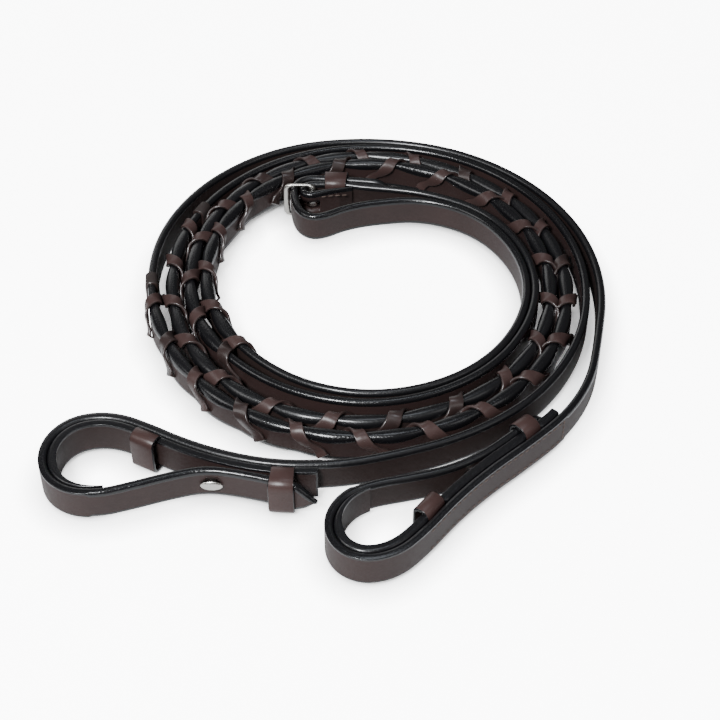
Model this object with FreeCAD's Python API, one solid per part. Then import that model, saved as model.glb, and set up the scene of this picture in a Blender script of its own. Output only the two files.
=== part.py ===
# A pair of laced English reins, coiled up and lying on edge.
#
# Two halves of leather strap run side by side from the centre buckle, round and round the coil,
# to their hook-stud bit ends. Each strap stands on its edge, so its course is drawn in plan and
# its width is upright. Units are millimetres. X is to the right, Y to the back, Z up.
# The origin is under the middle of the whole object, on the surface it lies on.
import FreeCAD, Part
import math
import os

Vector = FreeCAD.Vector

# ---- leather sizes ----
STRAP_WIDTH = 13.0
STRAP_THICKNESS = 3.2
LINER_THICKNESS = 3.4
KEEPER_LEATHER = 1.3
THONG_WIDTH = 4.0
THONG_THICKNESS = 1.0
THREAD_WIDTH = 0.6
THREAD_RISE = 0.3
POINT_LENGTH = 9.0

# ---- clearances ----
GLUE_LINE = 0.05          # between leather layers that are sewn together
KEEPER_SLACK = 0.8        # round the leather that a keeper holds
FRAME_SLACK = 0.4         # between the strap's edges and the buckle's side rails
PIVOT_CLEARANCE = 0.06    # radial, between the buckle bar and the tongue's eye
SLOT_CLEARANCE = 0.5      # round the tongue and the hook studs where they pass through leather

# ---- buckle ----
BAR_RADIUS = 1.6
RAIL = 1.5                # depth of the side rails, and thickness of the whole frame
FRAME_REACH = 9.6         # from the middle of the bar to the end bar
END_BAR = 2.8             # breadth of the end bar
TONGUE_RADIUS = 0.9
TONGUE_GAP = 0.15         # between the tongue and the end bar that it lies on
TONGUE_PLAY = 2.6         # how much longer than wide the strap's tongue holes are
EYE_WALL = 1.1
EYE_HEIGHT = 3.6
BAR_PLACE = (-24.4, 61.4)
HOLE_PITCH = 18.0
CENTRE_KEEPER_WIDTH = 9.4
CENTRE_KEEPER_PLACE = 15.5     # from the bar, along the strap
CHAPE_SEAM = 16.0              # length of the seam through the turned-back end

# ---- bit ends; places are measured along the strap from its pointed end ----
KEEPER_POINT_PLACE = 12.8
KEEPER_POINT_WIDTH = 8.2
STUD_PLACE = 39.5
RING_GIRTH = {"pointed_half": 162.5, "buckle_half": 156.5}      # round the ring to its keeper
KEEPER_RING_WIDTH = 10.2
KEEPER_RING_ROOM = 2.8         # clear depth of the empty keeper
MAIN_STRAP_NEAR = 140.0        # the main strap lies beside the billet between these distances
MAIN_STRAP_FAR = 260.0
LINER_END = 77.5
LINER_OVERRUN = 0.5            # how far the lining runs on past the point
STUD_SHANK = 1.6
STUD_FOOT_RADIUS = 3.8
STUD_FOOT = 0.9
STUD_HEAD_LENGTH = 9.0
STUD_HEAD_WIDTH = 4.6
STUD_HEAD = 1.5

# ---- lacing ----
LACE_START = 298.0             # from the buckle, along each half
LACE_LENGTH = 554.0
LACE_PITCH = 23.7
LACE_SLANT = 3.4               # half the distance that a turn leans along the edge
SLIT_HEIGHT = 2.0              # of the slits that the thong passes through, above the lower edge
BAND_WIDTH = 7.0
BAND_THICKNESS = 1.1

# ---- stitching ----
STITCH_PITCH = 3.0
STITCH = 2.2
STITCH_MARGIN = 2.0            # from the strap's edge

# ---- how high the leather lies: on its keepers, clear of the buckle's side rail ----
LIFT = max(KEEPER_SLACK + KEEPER_LEATHER, FRAME_SLACK + RAIL)
STRAP_TOP = LIFT + STRAP_WIDTH
MID_HEIGHT = LIFT + STRAP_WIDTH / 2

# ---- the coil: a course for each half, as its distance from the coil's middle at every
# ---- sixteenth of a turn, clockwise from the back; the outer half lies outside the inner one
MIDDLE = (12.8, 21.6)
STATIONS = 16
INNER_RADII = (52.4, 59.7, 63.8, 63.9, 63.6, 62.4, 62.2, 61.8, 61.9, 61.5, 61.0, 62.4, 66.1, 71.0, 76.9, 81.6,
               82.5, 80.1, 77.2, 75.0, 73.0, 72.8, 73.5, 74.1, 75.8, 77.4, 78.2, 78.5, 80.1, 84.2, 88.9, 92.6,
               93.4, 93.4, 91.5, 89.0, 87.3, 86.9, 88.2, 89.9)
OUTER_RADII = (62.2, 64.0, 67.4, 67.5, 67.2, 65.8, 65.8, 66.0, 66.9, 67.1, 67.9, 70.2, 73.0, 76.5, 82.5, 87.2,
               88.1, 85.5, 82.9, 80.9, 79.6, 79.5, 80.3, 82.2, 84.1, 85.3, 85.6, 85.8, 88.6, 93.1, 96.9, 99.0,
               97.3, 97.2, 95.9, 94.4, 93.3, 93.8)

# Ends of the courses, from the coil's middle. The pointed half starts at the tip tucked behind
# the centre keeper; the buckle half starts at the turned-back end of its chape.
POINTED_START = ((11.8, 65.0), (4.1, 66.6), (-6.5, 67.9), (-17.1, 69.0), (-26.8, 69.5), (-32.2, 65.0),
                 (-32.0, 56.5), (-29.8, 47.3), (-24.6, 42.7), (-18.3, 44.0), (-10.6, 48.9), (1.6, 52.5))
BUCKLE_START = ((-7.3, 60.5), (-13.8, 60.1), (-20.3, 59.0), (-26.6, 57.5), (-28.8, 61.4), (-26.6, 65.2),
                (-18.7, 65.3), (-10.6, 65.1), (-2.4, 63.3), (6.5, 62.2))
POINTED_BIT = ((0.0, -94.2), (-19.5, -96.9), (-37.4, -96.0), (-53.6, -91.8), (-68.4, -85.6),
               (-80.8, -78.6), (-91.5, -73.6), (-101.6, -72.8), (-110.6, -76.2), (-116.6, -84.2),
               (-117.8, -94.2), (-114.2, -103.5), (-106.4, -109.2), (-95.9, -110.0), (-84.9, -106.6),
               (-71.5, -101.9), (-59.3, -98.6), (-47.1, -100.6), (-32.5, -104.5), (-19.1, -109.5))
BUCKLE_BIT = ((82.0, -54.2), (71.7, -71.8), (56.2, -86.9), (41.6, -99.7), (29.2, -112.9),
              (18.7, -126.8), (9.3, -136.5), (-2.2, -139.8), (-11.2, -135.6), (-15.2, -127.0),
              (-14.2, -118.2), (-8.6, -110.0), (1.0, -105.4), (13.6, -102.7), (26.8, -99.0),
              (38.8, -92.6), (50.0, -82.9), (57.4, -75.6), (64.4, -68.6))


class Course:
    """A line in plan, of straight runs joined by tangent arcs; distances along it start at 0."""

    def __init__(self, points):
        self.legs = []
        self.radii = []
        corners = [Vector(MIDDLE[0] + x, MIDDLE[1] + y, 0) for x, y in points]
        start = corners[0]
        for before, corner, after in zip(corners, corners[1:], corners[2:]):
            arriving = corner - before
            leaving = after - corner
            turn = self.signed_angle(arriving, leaving)
            reach = 0.45 * min(arriving.Length, leaving.Length)
            radius = reach / math.tan(abs(turn) / 2)
            arc_start = corner - arriving.normalize() * reach
            self.add_leg(start, arriving, (arc_start - start).Length, 0.0)
            self.add_leg(arc_start, arriving, radius * abs(turn), math.copysign(1 / radius, turn))
            self.radii.append(radius)
            start = corner + leaving.normalize() * reach
        last = corners[-1] - start
        self.add_leg(start, last, last.Length, 0.0)
        self.length = sum(leg[2] for leg in self.legs)

    @staticmethod
    def signed_angle(a, b):
        return math.atan2(a.x * b.y - a.y * b.x, a.x * b.x + a.y * b.y)

    def add_leg(self, start, direction, length, curvature):
        self.legs.append((Vector(start), math.atan2(direction.y, direction.x), length, curvature))

    @staticmethod
    def along(leg, distance, offset):
        """The point at a distance along a leg, moved to the left by the offset, and its heading."""
        start, heading, _, curvature = leg
        turned = heading + curvature * distance
        if curvature:
            step = Vector(math.sin(turned) - math.sin(heading), math.cos(heading) - math.cos(turned), 0)
            step.multiply(1 / curvature)
        else:
            step = Vector(math.cos(heading), math.sin(heading), 0) * distance
        left = Vector(-math.sin(turned), math.cos(turned), 0)
        return start + step + left * offset, turned

    def place(self, distance, offset=0.0):
        """The point at a distance along the course and its heading."""
        for leg in self.legs:
            if distance <= leg[2]:
                return self.along(leg, distance, offset)
            distance -= leg[2]
        return self.along(self.legs[-1], self.legs[-1][2] + distance, offset)

    def spans(self, first, last):
        """The legs between two distances, each with the stretch of it that lies between them."""
        begun = 0.0
        for leg in self.legs:
            low = max(first - begun, 0.0)
            high = min(last - begun, leg[2])
            if high - low > 1e-6:
                yield leg, low, high
            begun += leg[2]

    def edges(self, first, last, offset):
        for leg, low, high in self.spans(first, last):
            start = self.along(leg, low, offset)[0]
            end = self.along(leg, high, offset)[0]
            if leg[3]:
                middle = self.along(leg, (low + high) / 2, offset)[0]
                yield Part.Arc(start, middle, end).toShape()
            else:
                yield Part.LineSegment(start, end).toShape()

    def band(self, first, last, near, far, bottom, top):
        """An upright wall that follows the course from one offset to another."""
        outline = list(self.edges(first, last, near)) + list(self.edges(first, last, far))
        for distance in (first, last):
            ends = [self.place(distance, offset)[0] for offset in (near, far)]
            outline.append(Part.LineSegment(*ends).toShape())
        wire = Part.Wire(Part.__sortEdges__(outline))
        wall = Part.Face(wire).extrude(Vector(0, 0, top - bottom))
        wall.translate(Vector(0, 0, bottom))
        return wall

    def facing(self, distance, first, last):
        """The distance, between two others, whose point lies nearest to that of a third."""
        target = self.place(distance)[0]
        steps = [first + 0.5 * i for i in range(int((last - first) * 2))]
        return min(steps, key=lambda s: (self.place(s)[0] - target).Length)


def crosswise(shape, course, distance, offset=0.0, height=0.0):
    """Turn a shape drawn along X, with Z up, to lie along the course at a distance."""
    point, heading = course.place(distance, offset)
    shape.rotate(Vector(), Vector(0, 0, 1), math.degrees(heading))
    shape.translate(point + Vector(0, 0, height))
    return shape


def through_slot(length, height, depth):
    """A round-ended slot along X that runs through leather from -Y to +Y."""
    half = (length - height) / 2
    ends = [Part.makeCylinder(height / 2, depth, Vector(x, -depth / 2, 0), Vector(0, 1, 0)) for x in (-half, half)]
    middle = Part.makeBox(2 * half, depth, height, Vector(-half, -depth / 2, -height / 2))
    return middle.fuse(ends).removeSplitter()


def pointed(strap, course, distance, direction):
    """Cut the strap's end, seen from its face, to a point."""
    tip = Vector(0, 0, 0)
    blunt = STRAP_WIDTH / 2 + 1
    for side in (1, -1):
        back = Vector(-direction * POINT_LENGTH * blunt / (STRAP_WIDTH / 2), 0, side * blunt)
        outer = Vector(direction * 2, 0, side * blunt)
        ahead = Vector(direction * 2, 0, 0)
        face = Part.Face(Part.makePolygon([tip, back, outer, ahead, tip]))
        wedge = face.extrude(Vector(0, 2 * STRAP_THICKNESS, 0))
        wedge.translate(Vector(0, -STRAP_THICKNESS, 0))
        strap = strap.cut(crosswise(wedge, course, distance, height=MID_HEIGHT))
    return strap


def stud_slot(course, distance):
    slot = through_slot(STUD_HEAD_LENGTH - 2, 2 * (STUD_SHANK + SLOT_CLEARANCE), 3 * STRAP_THICKNESS)
    return crosswise(slot, course, distance, height=MID_HEIGHT)


def tongue_slot(course, distance):
    height = 2 * (TONGUE_RADIUS + SLOT_CLEARANCE)
    slot = through_slot(height + TONGUE_PLAY, height, 2.5 * STRAP_THICKNESS)
    return crosswise(slot, course, distance, height=MID_HEIGHT)


def strap(course):
    half = STRAP_THICKNESS / 2
    return course.band(0, course.length, -half, half, LIFT, STRAP_TOP)


def bit_places(course, ring_girth):
    """Distances along the main strap of the pieces at a bit end, and where its lining ends."""
    end = course.length
    window = (end - MAIN_STRAP_FAR, end - MAIN_STRAP_NEAR)
    return {
        "keeper_point": course.facing(end - KEEPER_POINT_PLACE, *window),
        "stud": course.facing(end - STUD_PLACE, *window),
        "keeper_ring": end - ring_girth,
        "liner_start": course.facing(end, *window) - LINER_OVERRUN,
        "liner_end": end - LINER_END,
    }


def keeper(course, distance, width, near, far):
    """A leather loop whose near side is caught between two layers of leather."""
    low, high = distance - width / 2, distance + width / 2
    wall = math.copysign(KEEPER_LEATHER, far - near)
    bottom = LIFT - KEEPER_SLACK - KEEPER_LEATHER
    top = STRAP_TOP + KEEPER_SLACK + KEEPER_LEATHER
    outside = course.band(low, high, near, far, bottom, top)
    inside = course.band(low - 1, high + 1, near + wall, far - wall, bottom + KEEPER_LEATHER, top - KEEPER_LEATHER)
    return outside.cut(inside)


def flesh_side(flesh, depth):
    """Offset of something that stands this far off the strap's flesh side."""
    return flesh * (STRAP_THICKNESS / 2 + depth)


def billet_gap(course, distance):
    """How far the middle of the billet lies from the middle of the main strap beside it."""
    billet = course.facing(distance, course.length - MAIN_STRAP_NEAR / 2, course.length)
    return (course.place(billet)[0] - course.place(distance)[0]).Length


def bit_keepers(course, flesh, places):
    """The empty keeper next to the ring, and the one that holds the pointed end."""
    near = flesh_side(flesh, GLUE_LINE)
    empty = flesh_side(flesh, KEEPER_LEATHER + LINER_THICKNESS + KEEPER_RING_ROOM)
    billet = max(billet_gap(course, places["keeper_point"] + side * KEEPER_POINT_WIDTH / 2) for side in (1, -1))
    full = flesh * (billet + STRAP_THICKNESS / 2 + KEEPER_SLACK + KEEPER_LEATHER)
    ring = keeper(course, places["keeper_ring"], KEEPER_RING_WIDTH, near, empty)
    point = keeper(course, places["keeper_point"], KEEPER_POINT_WIDTH, near, full)
    return ring, point


def keeper_seat(course, flesh, distance, width):
    """Room let into the lining for the caught side of a keeper."""
    low, high = distance - width / 2 - GLUE_LINE, distance + width / 2 + GLUE_LINE
    deep = flesh_side(flesh, GLUE_LINE + KEEPER_LEATHER + GLUE_LINE)
    return course.band(low, high, 0, deep, 0, STRAP_TOP + LIFT)


def liner(course, flesh, places):
    """The second layer of leather, on the flesh side of the bit end and round its ring."""
    near = flesh_side(flesh, GLUE_LINE)
    far = flesh_side(flesh, LINER_THICKNESS)
    leather = course.band(places["liner_start"], places["liner_end"], near, far, LIFT, STRAP_TOP)
    for name, width in (("keeper_ring", KEEPER_RING_WIDTH), ("keeper_point", KEEPER_POINT_WIDTH)):
        leather = leather.cut(keeper_seat(course, flesh, places[name], width))
    return leather.cut(stud_solid(course, flesh, places, SLOT_CLEARANCE / 4))


def stud_solid(course, flesh, places, extra=0.0):
    """The hook stud: a foot under the lining, a shank, and an oval head outside the billet."""
    foot_depth = STRAP_THICKNESS / 2 + GLUE_LINE
    head_depth = (STRAP_THICKNESS + STUD_HEAD) / 2 + SLOT_CLEARANCE
    reach = billet_gap(course, places["stud"]) + head_depth - foot_depth
    side = Vector(0, flesh, 0)
    foot = Part.makeCylinder(STUD_FOOT_RADIUS + extra, STUD_FOOT + extra, side * (foot_depth - extra), side)
    shank = Part.makeCylinder(STUD_SHANK + extra, reach, side * foot_depth, side)
    stem = crosswise(foot.fuse(shank), course, places["stud"], height=MID_HEIGHT)
    head = through_slot(STUD_HEAD_LENGTH, STUD_HEAD_WIDTH, STUD_HEAD)
    head = crosswise(head, course, course.length - STUD_PLACE, -flesh * head_depth, MID_HEIGHT)
    return stem.fuse(head).removeSplitter()


def lace_turn(course, distance, slant):
    """One turn of the thong, over the strap's upper edge and down each face to its slit."""
    inner = STRAP_THICKNESS / 2 + GLUE_LINE
    outer = inner + THONG_THICKNESS
    half = THONG_WIDTH / 2
    bottom = LIFT + SLIT_HEIGHT
    top = STRAP_TOP + GLUE_LINE + THONG_THICKNESS
    legs = []
    for side in (1, -1):
        middle = distance + side * slant
        legs.append(course.band(middle - half, middle + half, side * inner, side * outer, bottom, top))
    corners = []
    for side, shift in ((1, -half), (1, half), (-1, half), (-1, -half)):
        corners.append(course.place(distance + side * slant + shift, side * (inner + THONG_THICKNESS / 2))[0])
    crossing = Part.Face(Part.makePolygon(corners + corners[:1])).extrude(Vector(0, 0, THONG_THICKNESS))
    crossing.translate(Vector(0, 0, top - THONG_THICKNESS))
    return crossing.fuse(legs).removeSplitter()


def lacing(course, start, slant):
    count = int(LACE_LENGTH / LACE_PITCH) + 1
    turns = [lace_turn(course, start + LACE_PITCH * i, slant) for i in range(count)]
    return Part.makeCompound(turns)


def lace_band(course, start):
    """The flat band that binds down the end of the thong."""
    low = start + LACE_LENGTH
    high = low + BAND_WIDTH
    inner = STRAP_THICKNESS / 2 + GLUE_LINE
    outer = inner + BAND_THICKNESS
    above, below = STRAP_TOP + GLUE_LINE, LIFT - GLUE_LINE
    outside = course.band(low, high, -outer, outer, below - BAND_THICKNESS, above + BAND_THICKNESS)
    return outside.cut(course.band(low - 1, high + 1, -inner, inner, below, above))


def stitch_row(course, first, last, near, far, height):
    count = int((last - first) / STITCH_PITCH)
    low, high = height - THREAD_WIDTH / 2, height + THREAD_WIDTH / 2
    starts = [first + STITCH_PITCH * i for i in range(count)]
    return [course.band(s, s + STITCH, near, far, low, high) for s in starts]


def bit_stitching(course, flesh, places):
    """Two rows of thread along the grain face, and one row across the end of the lining."""
    near = -flesh * STRAP_THICKNESS / 2
    far = near - flesh * THREAD_RISE
    first = places["liner_start"] + STITCH_MARGIN
    last = places["keeper_ring"] + KEEPER_RING_WIDTH
    stitches = []
    for height in (LIFT + STITCH_MARGIN, STRAP_TOP - STITCH_MARGIN):
        stitches += stitch_row(course, first, last, near, far, height)
    across = int((STRAP_WIDTH - 3 * STITCH_MARGIN) / STITCH_PITCH)
    for i in range(across):
        low = LIFT + 1.5 * STITCH_MARGIN + STITCH_PITCH * i
        stitches.append(course.band(first, first + THREAD_WIDTH, near, far, low, low + STITCH))
    return Part.makeCompound(stitches)


def chape_stitching(course):
    """Two rows of thread through the turned-back end, seen on its grain face."""
    near = STRAP_THICKNESS / 2
    stitches = []
    for height in (LIFT + STITCH_MARGIN, STRAP_TOP - STITCH_MARGIN):
        stitches += stitch_row(course, STITCH_MARGIN, CHAPE_SEAM, near, near + THREAD_RISE, height)
    return Part.makeCompound(stitches)


def bar_centre():
    return Vector(MIDDLE[0] + BAR_PLACE[0], MIDDLE[1] + BAR_PLACE[1], 0)


def buckle_frame():
    """A rectangular frame of flat stock with a round bar at the chape end, standing on its side."""
    inside = STRAP_WIDTH / 2 + FRAME_SLACK
    outside = inside + RAIL
    far_end = FRAME_REACH + END_BAR
    plate = Part.makeBox(far_end, RAIL, 2 * outside, Vector(-far_end, -RAIL / 2, -outside))
    opening = Part.makeBox(far_end - END_BAR, 2 * RAIL, 2 * inside, Vector(END_BAR - far_end, -RAIL, -inside))
    frame = plate.cut(opening)
    corners = [e for e in frame.Edges if abs(e.tangentAt(e.FirstParameter).y) > 0.9]
    outer = [e for e in corners if e.CenterOfMass.x < 1 - far_end]
    frame = frame.makeFillet(2.4, outer)
    bar = Part.makeCylinder(BAR_RADIUS, 2 * outside, Vector(0, 0, -outside))
    frame = frame.fuse(bar).removeSplitter()
    frame.translate(bar_centre() + Vector(0, 0, MID_HEIGHT))
    return frame


def tongue_level():
    """How far the tongue's middle line lies from the frame's middle plane."""
    return RAIL / 2 + TONGUE_RADIUS + TONGUE_GAP


def buckle_tongue():
    """A round tongue that turns on the bar and lies across the end bar."""
    eye_radius = BAR_RADIUS + PIVOT_CLEARANCE + EYE_WALL
    eye = Part.makeCylinder(eye_radius, EYE_HEIGHT, Vector(0, 0, -EYE_HEIGHT / 2))
    reach = FRAME_REACH + END_BAR
    root = Vector(-BAR_RADIUS / 2, tongue_level(), 0)
    prong = Part.makeCylinder(TONGUE_RADIUS, reach + root.x, root, Vector(-1, 0, 0))
    tip = Part.makeSphere(TONGUE_RADIUS, Vector(-reach, tongue_level(), 0))
    tongue = eye.fuse([prong, tip])
    hole = Part.makeCylinder(BAR_RADIUS + PIVOT_CLEARANCE, 2 * EYE_HEIGHT, Vector(0, 0, -EYE_HEIGHT))
    tongue = tongue.cut(hole)
    tongue.translate(bar_centre() + Vector(0, 0, MID_HEIGHT))
    return tongue


def fold_slot():
    """The slot in the fold of the chape that lets the tongue through and swing."""
    height = EYE_HEIGHT + 2 * SLOT_CLEARANCE
    eye_room = BAR_RADIUS + PIVOT_CLEARANCE + EYE_WALL + SLOT_CLEARANCE
    depth = 3 * STRAP_THICKNESS
    slot = Part.makeBox(depth + eye_room, 2 * depth, height, Vector(-depth, -depth, -height / 2))
    slot.translate(bar_centre() + Vector(0, 0, MID_HEIGHT))
    return slot


def coil_points(radii, first, last):
    """Places round the coil, one for each station, for a run of stations."""
    points = []
    for i in range(first, last):
        angle = 2 * math.pi * i / STATIONS
        points.append((radii[i] * math.sin(angle), radii[i] * math.cos(angle)))
    return points


def pointed_course():
    return Course(list(POINTED_START) + coil_points(INNER_RADII, 1, len(INNER_RADII)) + list(POINTED_BIT))


def buckle_course():
    return Course(list(BUCKLE_START) + coil_points(OUTER_RADII, 1, len(OUTER_RADII)) + list(BUCKLE_BIT))


def crossing_distance(course):
    """How far along the pointed half it passes through the buckle frame."""
    level = bar_centre().y + tongue_level()
    steps = [0.1 * i for i in range(300, 700)]
    return min(steps, key=lambda s: abs(course.place(s)[0].y - level))


def fold_distance(course):
    """How far along the buckle half its strap turns round the bar."""
    steps = [0.1 * i for i in range(400)]
    return min(steps, key=lambda s: course.place(s)[0].x)


def pointed_strap(course):
    leather = strap(course)
    leather = pointed(leather, course, course.length, 1)
    leather = pointed(leather, course, 0, -1)
    crossing = crossing_distance(course)
    for distance in (crossing, crossing - HOLE_PITCH):
        leather = leather.cut(tongue_slot(course, distance))
    return leather.cut(stud_slot(course, course.length - STUD_PLACE))


def bar_room():
    """The round room that the buckle's bar has in the fold of the chape."""
    radius = BAR_RADIUS + PIVOT_CLEARANCE
    return Part.makeCylinder(radius, STRAP_TOP, bar_centre())


def buckle_strap(course):
    leather = pointed(strap(course), course, course.length, 1)
    leather = leather.cut([fold_slot(), bar_room(), centre_keeper(course)])
    return leather.cut(stud_slot(course, course.length - STUD_PLACE))


def centre_keeper(course):
    """The keeper beside the buckle, caught between the strap and the turned-back chape."""
    distance = fold_distance(course) + CENTRE_KEEPER_PLACE
    near = -STRAP_THICKNESS / 2 - GLUE_LINE - KEEPER_LEATHER
    far = 1.5 * STRAP_THICKNESS + 2 * KEEPER_SLACK + KEEPER_LEATHER
    return keeper(course, distance, CENTRE_KEEPER_WIDTH, near, far)


def main():
    os.makedirs("parts", exist_ok=True)
    inner = pointed_course()
    outer = buckle_course()
    nodes = {
        "pointed_half_strap": pointed_strap(inner),
        "buckle_half_strap": buckle_strap(outer),
        "centre_keeper": centre_keeper(outer),
        "chape_stitching": chape_stitching(outer),
        "buckle_frame": buckle_frame(),
        "buckle_tongue": buckle_tongue(),
    }
    halves = (("pointed_half", inner, 1, crossing_distance(inner)),
              ("buckle_half", outer, -1, fold_distance(outer)))
    for half, course, flesh, buckle in halves:
        places = bit_places(course, RING_GIRTH[half])
        ring, point = bit_keepers(course, flesh, places)
        nodes[half + "_liner"] = liner(course, flesh, places)
        nodes[half + "_ring_keeper"] = ring
        nodes[half + "_point_keeper"] = point
        nodes[half + "_hook_stud"] = stud_solid(course, flesh, places)
        nodes[half + "_lacing"] = lacing(course, buckle + LACE_START, flesh * LACE_SLANT)
        nodes[half + "_lace_band"] = lace_band(course, buckle + LACE_START)
        nodes[half + "_bit_stitching"] = bit_stitching(course, flesh, places)
    for name, shape in nodes.items():
        shape.exportStep("parts/" + name + ".step")
    for name, course in (("pointed half", inner), ("buckle half", outer)):
        print(name, "course", round(course.length, 1), "mm, radii",
              " ".join("%.0f" % radius for radius in course.radii))
        section = STRAP_WIDTH * STRAP_THICKNESS * course.length
        print("  strap volume", round(nodes[name.replace(" ", "_") + "_strap"].Volume),
              "of section times length", round(section))
    everything = Part.makeCompound(list(nodes.values()))
    print("box", everything.BoundBox)


main()
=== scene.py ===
"""A pair of laced leather riding reins, coiled up and lying on edge.

Two halves of narrow strap run side by side round the coil: the buckle half outside, the pointed
half inside. They meet at the centre buckle, and each ends in a turned-back loop for the bit, with
a lining, two keepers and a hook stud. Lengths are metres, in the frame of the solid model.
"""

import bisect
import logging
import math
import random
from dataclasses import dataclass
from enum import Enum
from typing import Callable, Iterable, Sequence

import bmesh
import bpy
from mathutils import Matrix, Vector


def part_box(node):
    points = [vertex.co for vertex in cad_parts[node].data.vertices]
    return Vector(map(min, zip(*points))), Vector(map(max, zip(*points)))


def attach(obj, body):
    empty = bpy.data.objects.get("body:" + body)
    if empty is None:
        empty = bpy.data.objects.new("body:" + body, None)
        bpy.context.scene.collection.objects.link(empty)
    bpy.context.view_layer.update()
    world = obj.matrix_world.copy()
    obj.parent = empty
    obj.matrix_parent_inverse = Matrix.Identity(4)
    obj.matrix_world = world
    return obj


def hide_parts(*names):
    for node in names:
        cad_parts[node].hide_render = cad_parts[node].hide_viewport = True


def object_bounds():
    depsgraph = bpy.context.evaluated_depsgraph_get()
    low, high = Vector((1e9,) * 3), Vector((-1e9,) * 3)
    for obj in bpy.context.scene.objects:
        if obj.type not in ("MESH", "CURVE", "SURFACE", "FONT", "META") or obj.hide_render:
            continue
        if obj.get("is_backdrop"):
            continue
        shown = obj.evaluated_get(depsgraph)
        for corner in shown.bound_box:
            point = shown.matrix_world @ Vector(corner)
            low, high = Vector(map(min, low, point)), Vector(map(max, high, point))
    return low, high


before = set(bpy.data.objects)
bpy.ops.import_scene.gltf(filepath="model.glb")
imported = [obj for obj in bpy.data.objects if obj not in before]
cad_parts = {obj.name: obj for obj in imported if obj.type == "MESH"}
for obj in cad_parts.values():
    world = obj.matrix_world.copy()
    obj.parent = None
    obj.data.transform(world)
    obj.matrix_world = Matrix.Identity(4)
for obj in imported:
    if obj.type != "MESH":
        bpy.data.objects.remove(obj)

MM = 0.001
log = logging.getLogger("reins")
Place = tuple[float, float]
Spot = tuple[float, float]

# ---- sizes of the leather, as a saddler would give them ----
STRAP_THICKNESS = 3.2 * MM
LINING_THICKNESS = 3.35 * MM
KEEPER_LEATHER = 1.3 * MM
KEEPER_SLACK = 0.8 * MM
THONG_WIDTH = 4.6 * MM
THONG_THICKNESS = 1.15 * MM
POINT_LENGTH = 9.0 * MM
GLUE_LINE = 0.05 * MM
SEAM_MARGIN = 2.0 * MM
STITCH_PITCH = 3.0 * MM

# ---- the coil: the halves' distances from its middle at every sixteenth of a turn, clockwise ----
MIDDLE = (0.0128, 0.0216)
STATIONS = 16
INNER_RADII = (
    0.0524, 0.0597, 0.0638, 0.0639, 0.0636, 0.0624, 0.0622, 0.0618, 0.0619, 0.0615, 0.0610, 0.0624,
    0.0661, 0.0710, 0.0769, 0.0816, 0.0825, 0.0801, 0.0772, 0.0750, 0.0730, 0.0728, 0.0735, 0.0741,
    0.0758, 0.0774, 0.0782, 0.0785, 0.0801, 0.0842, 0.0889, 0.0926, 0.0934, 0.0934, 0.0915, 0.0890,
    0.0873, 0.0869, 0.0882, 0.0899,
)
OUTER_RADII = (
    0.0622, 0.0640, 0.0674, 0.0675, 0.0672, 0.0658, 0.0658, 0.0660, 0.0669, 0.0671, 0.0679, 0.0702,
    0.0730, 0.0765, 0.0825, 0.0872, 0.0881, 0.0855, 0.0829, 0.0809, 0.0796, 0.0795, 0.0803, 0.0822,
    0.0841, 0.0853, 0.0856, 0.0858, 0.0886, 0.0931, 0.0969, 0.0990, 0.0973, 0.0972, 0.0959, 0.0944,
    0.0933, 0.0938,
)

# ---- the halves' ends, from the coil's middle ----
POINTED_START = (
    (0.0118, 0.0650), (0.0041, 0.0666), (-0.0065, 0.0679), (-0.0171, 0.0690),
    (-0.0268, 0.0695), (-0.0322, 0.0650), (-0.0320, 0.0565), (-0.0298, 0.0473),
    (-0.0246, 0.0427), (-0.0183, 0.0440), (-0.0106, 0.0489), (0.0016, 0.0525),
)
BUCKLE_START = (
    (-0.0073, 0.0605), (-0.0138, 0.0601), (-0.0203, 0.0590), (-0.0266, 0.0575),
    (-0.0288, 0.0614), (-0.0266, 0.0652), (-0.0187, 0.0653), (-0.0106, 0.0651),
    (-0.0024, 0.0633), (0.0065, 0.0622),
)
POINTED_BIT = (
    (0.0, -0.0942), (-0.0195, -0.0969), (-0.0374, -0.0960), (-0.0536, -0.0918),
    (-0.0684, -0.0856), (-0.0808, -0.0786), (-0.0915, -0.0736), (-0.1016, -0.0728),
    (-0.1106, -0.0762), (-0.1166, -0.0842), (-0.1178, -0.0942), (-0.1142, -0.1035),
    (-0.1064, -0.1092), (-0.0959, -0.1100), (-0.0849, -0.1066), (-0.0715, -0.1019),
    (-0.0593, -0.0986), (-0.0471, -0.1006), (-0.0325, -0.1045), (-0.0191, -0.1095),
)
BUCKLE_BIT = (
    (0.0820, -0.0542), (0.0717, -0.0718), (0.0562, -0.0869), (0.0416, -0.0997),
    (0.0292, -0.1129), (0.0187, -0.1268), (0.0093, -0.1365), (-0.0022, -0.1398),
    (-0.0112, -0.1356), (-0.0152, -0.1270), (-0.0142, -0.1182), (-0.0086, -0.1100),
    (0.0010, -0.1054), (0.0136, -0.1027), (0.0268, -0.0990), (0.0388, -0.0926),
    (0.0500, -0.0829), (0.0574, -0.0756), (0.0644, -0.0686),
)


class Half(Enum):
    """The two halves of the reins, by what each has at the centre."""

    POINTED = "pointed_half"
    BUCKLE = "buckle_half"

    @property
    def flesh(self) -> int:
        """The side of the route that the strap's flesh side faces: 1 left, -1 right."""
        return 1 if self is Half.POINTED else -1

    @property
    def strap(self) -> str:
        """The half's strap in the solid model."""
        return f"{self.value}_strap"


def coil_places(radii: Sequence[float]) -> list[Place]:
    """The places round the coil, clockwise from the back.

    Args:
        radii: distances from the coil's middle, one for each station; the first is left out.

    Returns:
        Places from the coil's middle.
    """
    turns = [2 * math.pi * i / STATIONS for i in range(len(radii))]
    return [(r * math.sin(a), r * math.cos(a)) for r, a in zip(radii, turns)][1:]


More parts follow.
